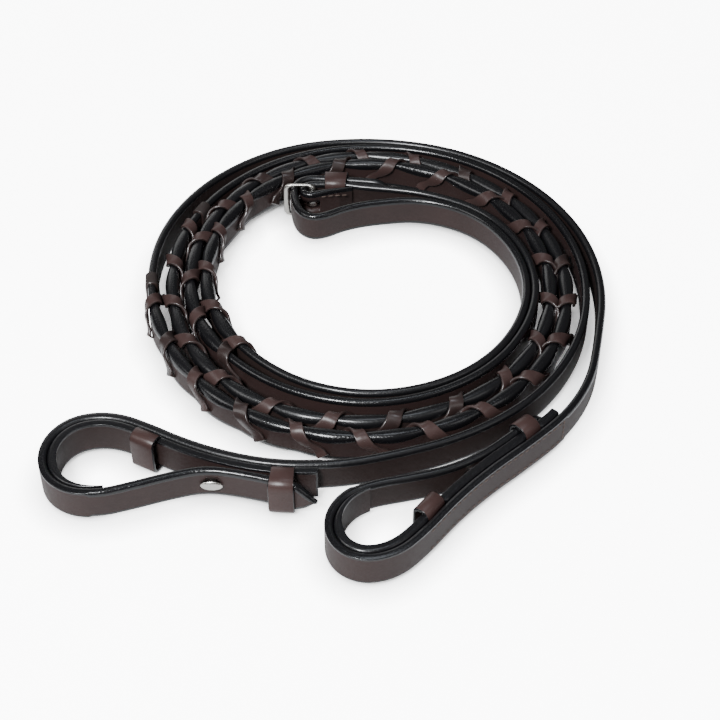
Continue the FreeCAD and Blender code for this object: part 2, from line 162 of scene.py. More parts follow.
def strap_places(half: Half) -> list[Place]:
    """The places that a half's route is drawn through.

    Args:
        half: which half of the reins.

    Returns:
        Places in plan, from the half's buckle end to its point.
    """
    if half is Half.POINTED:
        places = [*POINTED_START, *coil_places(INNER_RADII), *POINTED_BIT]
    else:
        places = [*BUCKLE_START, *coil_places(OUTER_RADII), *BUCKLE_BIT]
    return [(MIDDLE[0] + x, MIDDLE[1] + y) for x, y in places]


class Route:
    """The centre line of a strap: a smooth NURBS line in plan, at the middle of its width."""

    def __init__(self, name: str, places: Sequence[Place], height: float) -> None:
        """Draws the line and measures it.

        Args:
            name: of the curve.
            places: its control points in plan.
            height: of the line above the floor.
        """
        self.points = self.smooth_line(name, places, height)
        self.runs = [0.0]
        for a, b in zip(self.points, self.points[1:]):
            self.runs.append(self.runs[-1] + (b - a).length)
        self.length = self.runs[-1]
        around = zip([self.points[0], *self.points], [*self.points[1:], self.points[-1]])
        self.headings = [(b - a).normalized() for a, b in around]

    @staticmethod
    def smooth_line(name: str, places: Sequence[Place], height: float) -> list[Vector]:
        """Draws the NURBS line that has the places as its control points.

        Args:
            name: of the curve.
            places: its control points in plan.
            height: of the line above the floor.

        Returns:
            Points along the line.
        """
        curve = bpy.data.curves.new(name, "CURVE")
        curve.dimensions = "3D"
        curve.resolution_u = 12
        spline = curve.splines.new("NURBS")
        spline.points.add(len(places) - 1)
        for point, (x, y) in zip(spline.points, places):
            point.co = (x, y, height, 1.0)
        spline.order_u = 3
        spline.use_endpoint_u = True
        line = bpy.data.meshes.new_from_object(bpy.data.objects.new(name, curve))
        return [vert.co.copy() for vert in line.vertices]

    def at(self, distance: float) -> tuple[Vector, Vector]:
        """Where the line is at a distance along it.

        Args:
            distance: from the line's start.

        Returns:
            The point, and the level direction to its left.
        """
        i = min(max(bisect.bisect(self.runs, distance) - 1, 0), len(self.runs) - 2)
        share = (distance - self.runs[i]) / (self.runs[i + 1] - self.runs[i])
        point = self.points[i].lerp(self.points[i + 1], share)
        ahead = self.headings[i].lerp(self.headings[i + 1], min(max(share, 0.0), 1.0)).normalized()
        return point, Vector((-ahead.y, ahead.x, 0.0))

    def spot(self, distance: float, offset: float = 0.0, rise: float = 0.0) -> Vector:
        """The point that lies off the line, to its left and above it."""
        point, left = self.at(distance)
        return point + left * offset + Vector((0.0, 0.0, rise))

    def nearest(self, target: Vector, first: float = 0.0, last: float | None = None) -> float:
        """Where the line comes nearest to a point in plan.

        Args:
            target: the point.
            first: the distance along the line to look from.
            last: the distance to look to; the line's end if it isn't given.

        Returns:
            The distance along the line.
        """
        last = self.length if last is None else last
        steps = [first + (last - first) * i / 2000 for i in range(2001)]
        return min(steps, key=lambda s: (self.spot(s) - target).xy.length)


def centre_of(node: str) -> Vector:
    """The middle of a node's box in the solid model."""
    low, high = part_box(node)
    return (Vector(low) + Vector(high)) / 2


def size_of(node: str) -> Vector:
    """The size of a node's box in the solid model."""
    low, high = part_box(node)
    return Vector(high) - Vector(low)


# ---------------------------------------------------------------------------- shapes


class Shape:
    """A mesh in the making, with a UV map in metres and named marks, that becomes one piece."""

    def __init__(self, *marks: str) -> None:
        """Starts an empty mesh that can hold the named marks."""
        self.mesh = bmesh.new()
        self.uv = self.mesh.loops.layers.uv.new("UVMap")
        self.marks = {mark: self.mesh.verts.layers.float.new(mark) for mark in marks}

    def sleeve(
        self,
        rings: int,
        sides: int,
        place: Callable[[int, int], Vector],
        uv: Callable[[int, int], Spot],
        marks: dict[str, Callable[[int, int], float]] | None = None,
        closed: bool = False,
    ) -> None:
        """Adds a skin of rings, each with the same number of sides, closed at its ends.

        Args:
            rings: how many steps there are along the skin.
            sides: how many points go round each ring.
            place: where a point goes, from its ring and its number in the ring.
            uv: a point's place on the UV map, in metres.
            marks: the value of each named mark at a point.
            closed: True where the last ring is the first one again.
        """
        grid = bmesh.ops.create_grid(self.mesh, x_segments=rings, y_segments=sides, size=1.0)
        made = grid["verts"]
        cells = {
            vert: (round((vert.co.x + 1) / 2 * rings), round((vert.co.y + 1) / 2 * sides))
            for vert in made
        }
        faces = {face for vert in made for face in vert.link_faces}
        for loop in (loop for face in faces for loop in face.loops):
            loop[self.uv].uv = uv(*cells[loop.vert])
        for vert, (ring, side) in cells.items():
            at = (ring % rings if closed else ring, side % sides)
            vert.co = place(*at)
            for mark, value in (marks or {}).items():
                vert[self.marks[mark]] = value(*at)
        bmesh.ops.remove_doubles(self.mesh, verts=made, dist=0.001 * MM)
        faces = {face for face in faces if face.is_valid}
        if not closed:
            rims = [edge for edge in {e for f in faces for e in f.edges} if edge.is_boundary]
            faces.update(bmesh.ops.holes_fill(self.mesh, edges=rims, sides=0)["faces"])
        bmesh.ops.recalc_face_normals(self.mesh, faces=list(faces))

    def ball(self, matrix: Matrix, segments: int = 8, rings: int = 6) -> None:
        """Adds a sphere of radius 1, moved, turned and stretched by the matrix."""
        bmesh.ops.create_uvsphere(
            self.mesh, u_segments=segments, v_segments=rings, radius=1.0, matrix=matrix
        )

    def rod(self, start: Vector, end: Vector, radius: float, segments: int = 24) -> None:
        """Adds a round rod with flat ends.

        Args:
            start: the middle of one end.
            end: the middle of the other.
            radius: of the rod.
            segments: how many sides it has.
        """
        turn = (end - start).to_track_quat("Z", "Y").to_matrix().to_4x4()
        matrix = Matrix.Translation((start + end) / 2) @ turn
        bmesh.ops.create_cone(
            self.mesh, cap_ends=True, segments=segments, radius1=radius, radius2=radius,
            depth=(end - start).length, matrix=matrix,
        )

    def piece(
        self, name: str, material: bpy.types.Material, crease: float = 50.0
    ) -> bpy.types.Object:
        """Finishes the mesh as a piece of the object.

        Args:
            name: the piece's name.
            material: what it is made of.
            crease: edges that turn by more than this many degrees stay sharp.

        Returns:
            The new object, at the origin.
        """
        mesh = bpy.data.meshes.new(name)
        self.mesh.to_mesh(mesh)
        self.mesh.free()
        mesh.shade_smooth()
        mesh.set_sharp_from_angle(angle=math.radians(crease))
        mesh.materials.append(material)
        obj = bpy.data.objects.new(name, mesh)
        bpy.context.scene.collection.objects.link(obj)
        return obj


def rounded_box(half_width: float, half_height: float, radius: float, steps: int = 3) -> list[Spot]:
    """The outline of a box with rounded corners, counter-clockwise from its right side.

    Args:
        half_width: half its size across.
        half_height: half its size upwards.
        radius: of its corners.
        steps: how many steps each corner is made in.

    Returns:
        Points across and up.
    """
    outline = []
    for quarter, (x, y) in enumerate(((1, 1), (-1, 1), (-1, -1), (1, -1))):
        for step in range(steps + 1):
            angle = math.pi / 2 * (quarter + step / steps)
            across = x * (half_width - radius) + radius * math.cos(angle)
            up = y * (half_height - radius) + radius * math.sin(angle)
            outline.append((across, up))
    return outline


@dataclass(frozen=True)
class Section:
    """The outline of a strip of leather: its half sizes, and the shape and dye of its edges.

    The left and right roundings differ where one side is sewn to another strip.
    """

    thick: float
    wide: float
    left: float
    right: float
    crown: float
    dyed: float

    def quarter(self, rounding: float) -> list[tuple[float, float, float]]:
        """The part of the outline from the middle of the right side to the top of the edge.

        Args:
            rounding: the radius of the corner.

        Returns:
            Points up the side and over the corner: offset, height and share of dye.
        """
        radius = min(rounding, 0.95 * self.thick, 0.8 * self.wide)
        crown = min(self.crown, 0.3 * self.wide)
        flat = self.wide - radius
        dyed = min(self.dyed, 0.7 * flat)
        points = [(self.thick, 0.35 * (flat - dyed), 0.0), (self.thick, flat - dyed, 0.0)]
        points.append((self.thick, flat - 0.6 * dyed, 0.8))
        shoulder = self.thick - radius
        for step in range(6):
            angle = math.pi / 2 * step / 5
            x = shoulder + radius * math.cos(angle)
            points.append((x, flat + radius * math.sin(angle) - crown * (x / self.thick) ** 2, 1.0))
        x = shoulder / 2
        points.append((x, self.wide - crown * (x / self.thick) ** 2, 1.0))
        return points

    def outline(self) -> list[tuple[float, float, float]]:
        """The whole outline, counter-clockwise from the right.

        Returns:
            Points: offset, height and share of dye.
        """
        right, left = self.quarter(self.right), self.quarter(self.left)
        upper = [*right, (0.0, self.wide, 1.0), *[(-x, z, dye) for x, z, dye in reversed(left)]]
        lower = [*left, (0.0, self.wide, 1.0), *[(-x, z, dye) for x, z, dye in reversed(right)]]
        return [*upper, *[(-x, -z, dye) for x, z, dye in lower]]


def outline_lengths(outline: Sequence[Spot]) -> list[float]:
    """How far round an outline its points are.

    Args:
        outline: points across and up.

    Returns:
        A length for each point, and last the whole way round.
    """
    lengths = [0.0]
    for a, b in zip(outline, [*outline[1:], outline[0]]):
        lengths.append(lengths[-1] + math.dist(a, b))
    return lengths


def cut_away(obj: bpy.types.Object, cutter: Shape) -> None:
    """Takes a shape out of a piece, for good.

    Args:
        obj: the piece.
        cutter: what is cut away.
    """
    tool = cutter.piece("cutter", obj.data.materials[0])
    cut = obj.modifiers.new("cut", "BOOLEAN")
    cut.object = tool
    cut.solver = "EXACT"
    depsgraph = bpy.context.evaluated_depsgraph_get()
    done = bpy.data.meshes.new_from_object(obj.evaluated_get(depsgraph), depsgraph=depsgraph)
    obj.modifiers.remove(cut)
    obj.data = done
    bpy.data.objects.remove(tool)


# ---------------------------------------------------------------------------- finishes


class Tree:
    """A node tree in the making."""

    def __init__(self, tree: bpy.types.NodeTree) -> None:
        """Takes the tree that the nodes go into."""
        self.tree = tree

    def add(self, kind: str, settings: dict | None = None, **inputs: object) -> bpy.types.Node:
        """Adds a node.

        Args:
            kind: the node's type, without its ShaderNode prefix.
            settings: its own properties.
            inputs: a value, or another node's output, for each named socket. An underscore stands
                for a space in the socket's name.

        Returns:
            The node.
        """
        node = self.tree.nodes.new("ShaderNode" + kind)
        for name, value in (settings or {}).items():
            setattr(node, name, value)
        for name, value in inputs.items():
            self.feed(node.inputs[name.replace("_", " ")], value)
        return node

    def feed(self, socket: bpy.types.NodeSocket, value: object) -> None:
        """Links an output to a socket, or sets its value.

        Args:
            socket: the input.
            value: an output, or a number, vector or colour.
        """
        if isinstance(value, bpy.types.NodeSocket):
            self.tree.links.new(value, socket)
        else:
            socket.default_value = value

    def math(self, operation: str, *values: object) -> bpy.types.NodeSocket:
        """Adds a sum of one or two values.

        Args:
            operation: the Math node's operation.
            values: numbers or outputs.

        Returns:
            The output that holds the result.
        """
        node = self.tree.nodes.new("ShaderNodeMath")
        node.operation = operation
        for socket, value in zip(node.inputs, values):
            self.feed(socket, value)
        return node.outputs[0]

    def mix(self, share: object, low: object, high: object) -> bpy.types.NodeSocket:
        """Adds a mix of two colours.

        Args:
            share: how much of the second colour there is, from 0 to 1.
            low: the first colour.
            high: the second colour.

        Returns:
            The output that holds the mixed colour.
        """
        node = self.tree.nodes.new("ShaderNodeMix")
        node.data_type = "RGBA"
        for i, value in ((0, share), (6, low), (7, high)):
            self.feed(node.inputs[i], value)
        return node.outputs[2]


class Effect:
    """A shader node group that several finishes share."""

    def __init__(
        self, name: str, inputs: dict[str, tuple[str, object]], outputs: dict[str, str]
    ) -> None:
        """Starts an empty group with its sockets.

        Args:
            name: of the group.
            inputs: the kind of each named input, and its usual value.
            outputs: the kind of each named output.
        """
        self.group = bpy.data.node_groups.new(name, "ShaderNodeTree")
        sockets = self.group.interface
        for label, (kind, value) in inputs.items():
            socket = sockets.new_socket(label, in_out="INPUT", socket_type="NodeSocket" + kind)
            if value is not None:
                socket.default_value = value
        for label, kind in outputs.items():
            sockets.new_socket(label, in_out="OUTPUT", socket_type="NodeSocket" + kind)
        self.tree = Tree(self.group)
        self.inside = self.group.nodes.new("NodeGroupInput").outputs
        self.out = self.group.nodes.new("NodeGroupOutput").inputs

    def use(self, tree: Tree, **inputs: object) -> bpy.types.Node:
        """Puts the group into a finish's tree.

        Args:
            tree: the finish's tree.
            inputs: a value, or another node's output, for each named input.

        Returns:
            The group's node.
        """
        node = tree.tree.nodes.new("ShaderNodeGroup")
        node.node_tree = self.group
        for name, value in inputs.items():
            tree.feed(node.inputs[name.replace("_", " ")], value)
        return node


def leather_grain() -> Effect:
    """The pebbled pores of tanned leather and its soft unevenness.

    Returns:
        An effect that gives a height and a mottle.
    """
    effect = Effect(
        "leather grain",
        {"Vector": ("Vector", None), "Pores": ("Float", 1400.0), "Depth": ("Float", 1.0)},
        {"Height": "Float", "Mottle": "Float"},
    )
    tree, inside = effect.tree, effect.inside
    place = inside["Vector"]
    pores = tree.add("TexVoronoi", {"feature": "SMOOTH_F1"}, Vector=place, Scale=inside["Pores"])
    coarse = tree.add("TexNoise", Vector=place, Scale=420.0, Detail=4.0, Roughness=0.6)
    cloud = tree.add("TexNoise", Vector=place, Scale=60.0, Detail=3.0, Roughness=0.55)
    waves = tree.math("MULTIPLY", coarse.outputs[0], 1.6)
    height = tree.math("ADD", pores.outputs["Distance"], waves)
    tree.feed(effect.out["Height"], tree.math("MULTIPLY", height, inside["Depth"]))
    tree.feed(effect.out["Mottle"], cloud.outputs[0])
    return effect


def dyed_edge() -> Effect:
    """Where the black edge dye lies: on the marked edge, with a slightly wavering border.

    Returns:
        An effect that gives the share of dye.
    """
    effect = Effect(
        "dyed edge",
        {"Vector": ("Vector", None), "Edge": ("Float", 0.0), "Waver": ("Float", 0.35)},
        {"Dye": "Float"},
    )
    tree, inside = effect.tree, effect.inside
    waver = tree.add("TexNoise", Vector=inside["Vector"], Scale=260.0, Detail=3.0)
    shift = tree.math("MULTIPLY", tree.math("SUBTRACT", waver.outputs[0], 0.5), inside["Waver"])
    border = tree.add("MapRange", Value=tree.math("ADD", inside["Edge"], shift))
    border.inputs["From Min"].default_value = 0.35
    border.inputs["From Max"].default_value = 0.62
    tree.feed(effect.out["Dye"], border.outputs[0])
    return effect


def handling_dust() -> Effect:
    """Faint dust and finger marks that dull a surface.

    Returns:
        An effect that gives the share of dust.
    """
    effect = Effect(
        "handling dust", {"Vector": ("Vector", None), "Amount": ("Float", 0.5)}, {"Dust": "Float"}
    )
    tree, inside = effect.tree, effect.inside
    smears = tree.add("TexNoise", Vector=inside["Vector"], Scale=35.0, Detail=5.0, Roughness=0.7)
    specks = tree.add("TexNoise", Vector=inside["Vector"], Scale=2600.0, Detail=2.0)
    sharp = tree.add("MapRange", Value=specks.outputs[0])
    sharp.inputs["From Min"].default_value = 0.62
    sharp.inputs["From Max"].default_value = 0.75
    both = tree.math("ADD", tree.math("MULTIPLY", smears.outputs[0], 0.5), sharp.outputs[0])
    tree.feed(effect.out["Dust"], tree.math("MULTIPLY", both, inside["Amount"]))
    return effect


@dataclass(frozen=True)
class Effects:
    """The shared effects, made once."""

    grain: Effect
    dye: Effect
    dust: Effect


Colour = tuple[float, float, float, float]


@dataclass(frozen=True)
class LeatherFinish:
    """Vegetable-tanned bridle leather: a smooth grain side, a duller flesh side darkened further
    with painted shade, and dyed edges.
    """

    name: str
    face: Colour = (0.0260, 0.0140, 0.0128, 1.0)
    # The flesh colour is the flesh side's own duller brown, darkened further as painted shade for
    # the walls deep between the strands.
    flesh: Colour = (0.0170, 0.0090, 0.0078, 1.0)
    dye: Colour = (0.0030, 0.0030, 0.0040, 1.0)
    face_roughness: float = 0.48
    flesh_roughness: float = 0.62
    edge_roughness: float = 0.22
    dusty_roughness: float = 0.12
    dust_colour: Colour = (0.30, 0.28, 0.26, 1.0)
    grain_depth: float = 0.10
    edge_depth: float = 0.55

    def material(self, effects: Effects) -> bpy.types.Material:
        """Builds the leather.

        Args:
            effects: the shared effects.

        Returns:
            The material.
        """
        material = bpy.data.materials.new(self.name)
        material.use_nodes = True
        tree = Tree(material.node_tree)
        shader = material.node_tree.nodes["Principled BSDF"]
        place = tree.add("UVMap", {"uv_map": "UVMap"}).outputs[0]
        edge = tree.add("Attribute", {"attribute_name": "edge"}).outputs["Fac"]
        flesh = tree.add("Attribute", {"attribute_name": "flesh"}).outputs["Fac"]
        grain = effects.grain.use(tree, Vector=place)
        dye = effects.dye.use(tree, Vector=place, Edge=edge).outputs["Dye"]
        dust = effects.dust.use(tree, Vector=place, Amount=0.35).outputs["Dust"]

        # Flesh faces take the flesh colour: their own tone plus painted shade for the walls between
        # strands.
        side = tree.mix(flesh, self.face, self.flesh)
        dark = tree.math("SUBTRACT", 1.3, tree.math("MULTIPLY", grain.outputs["Mottle"], 0.6))
        shaded = tree.add("VectorMath", {"operation": "SCALE"})
        tree.feed(shaded.inputs[0], side)
        tree.feed(shaded.inputs["Scale"], dark)
        coloured = tree.mix(dye, shaded.outputs[0], self.dye)
        dusty = tree.mix(tree.math("MULTIPLY", dust, 0.06), coloured, self.dust_colour)
        tree.feed(shader.inputs["Base Color"], dusty)

        rough = self.face_roughness
        for where, more in (
            (flesh, self.flesh_roughness - self.face_roughness),
            (dye, self.edge_roughness - self.face_roughness),
            (dust, self.dusty_roughness),
        ):
            rough = tree.math("ADD", rough, tree.math("MULTIPLY", where, more))
        tree.feed(shader.inputs["Roughness"], rough)

        pores = tree.math("MULTIPLY", grain.outputs["Height"], self.grain_depth)
        wax = tree.add("TexNoise", Vector=place, Scale=1500.0, Detail=2.0).outputs[0]
        ridges = tree.math("MULTIPLY", tree.math("MULTIPLY", wax, dye), self.edge_depth)
        depth = tree.math("ADD", pores, ridges)
        bump = tree.add("Bump", Height=depth, Strength=1.0, Distance=0.25 * MM)
        tree.feed(shader.inputs["Normal"], bump.outputs[0])
        tree.feed(shader.inputs["Coat Weight"], tree.math("MULTIPLY", dye, 0.5))
        shader.inputs["Coat Roughness"].default_value = 0.2
        shader.inputs["Specular IOR Level"].default_value = 0.32
        return material


@dataclass(frozen=True)
class ThreadFinish:
    """Waxed linen thread, with its twist, whose raised ridges carry a painted highlight in a
    lighter colour.
    """

    name: str
    colour: Colour

    def material(self, effects: Effects) -> bpy.types.Material:
        """Builds the thread.

        Args:
            effects: the shared effects.

        Returns:
            The material.
        """
        material = bpy.data.materials.new(self.name)
        material.use_nodes = True
        tree = Tree(material.node_tree)
        shader = material.node_tree.nodes["Principled BSDF"]
        place = tree.add("TexCoord").outputs["Object"]
        twist = tree.add("TexWave", Vector=place, Scale=900.0, Distortion=1.5)
        dust = effects.dust.use(tree, Vector=place, Amount=0.8).outputs["Dust"]
        # The lighter colour along the twist is a painted highlight on the thread's raised ridges.
        light = tuple(min(1.0, 1.6 * c) for c in self.colour[:3]) + (1.0,)
        tree.feed(shader.inputs["Base Color"], tree.mix(twist.outputs["Fac"], self.colour, light))
        rough = tree.math("ADD", 0.5, tree.math("MULTIPLY", dust, 0.2))
        tree.feed(shader.inputs["Roughness"], rough)
        bump = tree.add("Bump", Height=twist.outputs["Fac"], Strength=0.6, Distance=0.1 * MM)
        tree.feed(shader.inputs["Normal"], bump.outputs[0])
        return material


@dataclass(frozen=True)
class NickelFinish:
    """Satin nickel plate, brushed by polishing."""

    name: str
    colour: Colour = (0.66, 0.64, 0.60, 1.0)
    roughness: float = 0.24

    def material(self, effects: Effects) -> bpy.types.Material:
        """Builds the plating.

        Args:
            effects: the shared effects.

        Returns:
            The material.
        """
        material = bpy.data.materials.new(self.name)
        material.use_nodes = True
        tree = Tree(material.node_tree)
        shader = material.node_tree.nodes["Principled BSDF"]
        place = tree.add("TexCoord").outputs["Object"]
        marks = tree.add("TexNoise", Vector=place, Scale=900.0, Detail=4.0)
        dust = effects.dust.use(tree, Vector=place, Amount=0.6).outputs["Dust"]
        darker = tuple(0.8 * c for c in self.colour[:3]) + (1.0,)
        tree.feed(shader.inputs["Base Color"], tree.mix(marks.outputs[0], self.colour, darker))
        rough = tree.math("ADD", self.roughness, tree.math("MULTIPLY", dust, 0.2))
        tree.feed(shader.inputs["Roughness"], rough)
        bump = tree.add("Bump", Height=marks.outputs[0], Strength=0.15, Distance=0.05 * MM)
        tree.feed(shader.inputs["Normal"], bump.outputs[0])
        shader.inputs["Metallic"].default_value = 1.0
        return material


@dataclass(frozen=True)
class Finishes:
    """What the reins are made of."""

    strap: bpy.types.Material
    lining: bpy.types.Material
    keeper: bpy.types.Material
    thong: bpy.types.Material
    band: bpy.types.Material
    thread: bpy.types.Material
    pale_highlight_thread: bpy.types.Material
    nickel: bpy.types.Material


def make_finishes() -> Finishes:
    """Builds every material, with the effects that they share.

    Returns:
        The materials.
    """
    effects = Effects(leather_grain(), dyed_edge(), handling_dust())
    lace = dict(dye=(0.022, 0.013, 0.012, 1.0), edge_roughness=0.4, edge_depth=0.1)
    leathers = {
        "strap": LeatherFinish("bridle leather"),
        "lining": LeatherFinish("lining leather"),
        "keeper": LeatherFinish(
            "keeper leather", face=(0.040, 0.0215, 0.0195, 1.0), face_roughness=0.36
        ),
        "thong": LeatherFinish(
            "thong leather", face=(0.044, 0.025, 0.023, 1.0), face_roughness=0.36, **lace
        ),
        "band": LeatherFinish(
            "band leather", face=(0.020, 0.014, 0.013, 1.0), face_roughness=0.62, **lace
        ),
    }
    return Finishes(
        **{use: leather.material(effects) for use, leather in leathers.items()},
        thread=ThreadFinish("brown thread", (0.060, 0.040, 0.032, 1.0)).material(effects),
        # The pale thread's light colour is a painted highlight on the pointed half's end row.
        pale_highlight_thread=ThreadFinish("pale highlight thread", (0.45, 0.40, 0.35, 1.0)).material(effects),
        nickel=NickelFinish("satin nickel").material(effects),
    )


# ---------------------------------------------------------------------------- leather


@dataclass(frozen=True)
class LaceSizes:
    """How the thong is laced along a half, and how the strap gives way to it.

    The lacing starts this far from the buckle's bar. Between two turns the strap swells in
    thickness and is crowned in width, and under a turn it is pinched.
    """

    start: float = 298 * MM
    length: float = 554 * MM
    pitch: float = 23.7 * MM
    slit_height: float = 2.6 * MM
    swell: float = 1.25 * MM
    crown: float = 0.45 * MM
    pinch: float = 0.35 * MM
    shoulder: float = 0.8 * MM
    shoulder_reach: float = 2.4 * MM
    hump: float = 0.7 * MM
    tuck: float = 3.0 * MM
    unevenness: float = 0.7 * MM

    @property
    def turns(self) -> int:
        """How many times the thong goes round."""
        return int(self.length / self.pitch) + 1


@dataclass(frozen=True)
class StrapSizes:
    """The section of a strap, with its rounded and dyed edges, and the slots through it.

    The joint is the rounding of the side that is sewn to another layer. A slot is as long and as
    high as its two sizes.
    """

    width: float
    thickness: float = STRAP_THICKNESS
    rounding: float = 1.15 * MM
    joint: float = 0.18 * MM
    crown: float = 0.25 * MM
    dyed: float = 1.1 * MM
    step: float = 1.25 * MM
    stud_slot: Spot = (7.0 * MM, 4.2 * MM)
    tongue_slot: Spot = (5.4 * MM, 2.8 * MM)
    thinned_point: float = 3.5 * MM
    chape_skive: float = 16 * MM
    fold: float = 3.3 * MM
    bar: float = 1.6 * MM


@dataclass
class Strap:
    """One half's long strap, with its laced stretch and its pointed ends.

    The lining ends the tail's length from the point. The main strap faces the billet between two
    distances from the point.
    """

    half: Half
    sizes: StrapSizes
    lace: LaceSizes
    tail: float = 77.5 * MM
    facing: tuple[float, float] = (140 * MM, 260 * MM)

    def __post_init__(self) -> None:
        """Draws the route, and finds where the buckle, the lacing and the lining are along it."""
        half = self.half
        self.route = Route(f"{half.value}_route", strap_places(half), centre_of(half.strap).z)
        self.bar = self.route.nearest(centre_of("buckle_tongue"), 0.0, 70 * MM)
        self.lace_start = self.bar + self.lace.start
        end = self.route.length
        self.lining_start = self.beside_billet(self.route.spot(end)) - 0.5 * MM
        self.lining_end = end - self.tail

    def beside_billet(self, target: Vector) -> float:
        """The distance to the place on the main strap beside the billet nearest to a point."""
        near, far = self.facing
        return self.route.nearest(target, self.route.length - far, self.route.length - near)

    def on_billet(self, target: Vector) -> float:
        """The distance to the place on the billet nearest to a point."""
        return self.route.nearest(target, self.route.length - 60 * MM)

    def swelling(self, distance: float) -> float:
        """How far the strap swells between the turns of the thong.

        Args:
            distance: along the strap.

        Returns:
            A share from 0 to 1.
        """
        along = distance - self.lace_start
        if not 0 < along < self.lace.pitch * (self.lace.turns - 1):
            return 0.0
        return (0.5 - 0.5 * math.cos(2 * math.pi * along / self.lace.pitch)) ** 0.6

    def from_point(self, distance: float) -> float:
        """How far a place on the strap is from the nearer pointed end."""
        to_end = max(0.0, self.route.length - distance)
        return min(to_end, distance) if self.half is Half.POINTED else to_end

    def half_thickness(self, distance: float) -> float:
        """Half the strap's thickness at a distance along it."""
        full = self.sizes.thickness / 2 + self.lace.swell * self.swelling(distance)
        return full * min(1.0, 0.5 + 0.5 * self.from_point(distance) / self.sizes.thinned_point)

    def half_width(self, distance: float) -> float:
        """Half the strap's width, which narrows to its points.

        Args:
            distance: along the strap.

        Returns:
            Half the width there.
        """
        full = self.sizes.width / 2
        along = distance - self.lace_start
        if 0 <= along <= self.lace.pitch * (self.lace.turns - 1):
            full += self.lace.crown * self.swelling(distance) - self.lace.pinch
        share = min(1.0, self.from_point(distance) / POINT_LENGTH)
        return full * max(0.08, 1 - (1 - share) ** 1.5)

    def section(self, distance: float) -> list[tuple[float, float, float]]:
        """The strap's outline.

        Args:
            distance: along the strap.

        Returns:
            Points round the outline there: offset, height and share of dye.
        """
        sizes, half = self.sizes, self.half
        swollen = self.swelling(distance)
        rounding = sizes.rounding * (1 + 0.8 * swollen)
        joint = sizes.joint if self.is_lined(distance) else rounding
        thick = self.half_thickness(distance)
        section = Section(
            thick, self.half_width(distance),
            left=joint if half.flesh > 0 else rounding,
            right=joint if half.flesh < 0 else rounding,
            crown=sizes.crown * (1 + swollen),
            dyed=sizes.dyed * (1 + 0.5 * swollen),
        )
        thin = self.skive(distance)
        shift = half.flesh * thick * (1 - thin)
        return [(shift + x * thin, z, dye) for x, z, dye in section.outline()]

    def skive(self, distance: float) -> float:
        """How much of the thickness is left where the chape's end is thinned."""
        if self.half is Half.POINTED:
            return 1.0
        return min(1.0, 0.2 + 0.8 * distance / self.sizes.chape_skive)

    def is_lined(self, distance: float) -> bool:
        """True where the lining is sewn to the strap."""
        return self.lining_start - 1 * MM < distance < self.lining_end - 6 * MM

    def surface(self, distance: float, girth: float, lift: float) -> Vector:
        """A point on or above the strap's skin.

        Args:
            distance: along the strap.
            girth: how far round the skin it is from the middle of the upper edge; the outer side
                is positive.
            lift: how far off the skin.

        Returns:
            The point.
        """
        thick, wide = self.half_thickness(distance), self.half_width(distance)
        side = math.copysign(1.0, girth)
        corner = thick * math.pi / 2
        if abs(girth) < corner:
            angle = girth / thick
            offset = (thick + lift) * math.sin(angle)
            rise = wide - thick + (thick + lift) * math.cos(angle)
        else:
            offset = side * (thick + lift)
            rise = wide - thick - (abs(girth) - corner)
        return self.route.spot(distance, offset, rise)

    def build(self, finishes: Finishes) -> bpy.types.Object:
        """Makes the strap, with the slots that the tongue and the hook stud pass through.

        Args:
            finishes: what the reins are made of.

        Returns:
            The strap.
        """
        rings = round(self.route.length / self.sizes.step)
        stations = [self.route.length * i / rings for i in range(rings + 1)]
        sections = [self.section(s) for s in stations]
        rounds = [outline_lengths([(x, z) for x, z, _ in section]) for section in sections]
        sides = len(sections[0])
        flesh = self.half.flesh

        def place(ring: int, side: int) -> Vector:
            """A point of the strap's skin.

            Args:
                ring: the ring's number.
                side: the point's number in its ring.

            Returns:
                The point.
            """
            offset, rise, _ = sections[ring][side]
            return self.route.spot(stations[ring], offset, rise)

        shape = Shape("edge", "flesh")
        shape.sleeve(
            rings, sides, place,
            uv=lambda ring, side: (stations[ring], rounds[ring][side]),
            marks={
                "edge": lambda ring, side: sections[ring][side][2],
                "flesh": lambda ring, side: 1.0 if sections[ring][side][0] * flesh > 0 else 0.0,
            },
        )
        strap = shape.piece(self.half.strap + "_leather", finishes.strap)
        for cutter in self.slots():
            cut_away(strap, cutter)
        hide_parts(self.half.strap)
        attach(strap, "reins")
        tuple(self.route.points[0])
        [tuple(p) for p in self.route.points]
        return strap

    def slots(self) -> Iterable[Shape]:
        """What is cut out of the strap.

        Returns:
            The shapes, one after another.
        """
        yield self.slot(self.on_billet(self.stud_head()), *self.sizes.stud_slot)
        if self.half is Half.POINTED:
            yield self.slot(self.bar, *self.sizes.tongue_slot)
        else:
            yield self.fold_slot()

    def slot(self, distance: float, length: float, height: float) -> Shape:
        """A round-ended slot through the strap.

        Args:
            distance: along the strap, to the middle of the slot.
            length: of the slot, along the strap.
            height: of the slot.

        Returns:
            The shape to cut away.
        """
        shape = Shape()
        outline = rounded_box(length / 2, height / 2, height / 2 - 0.01 * MM, 6)
        depth = self.sizes.thickness

        def place(ring: int, side: int) -> Vector:
            """A point of the slot's wall.

            Args:
                ring: the ring's number.
                side: the point's number in its ring.

            Returns:
                The point.
            """
            along, rise = outline[side]
            return self.route.spot(distance + along, (2 * ring - 1) * depth, rise)

        shape.sleeve(1, len(outline), place, uv=lambda ring, side: (0.0, 0.0))
        return shape

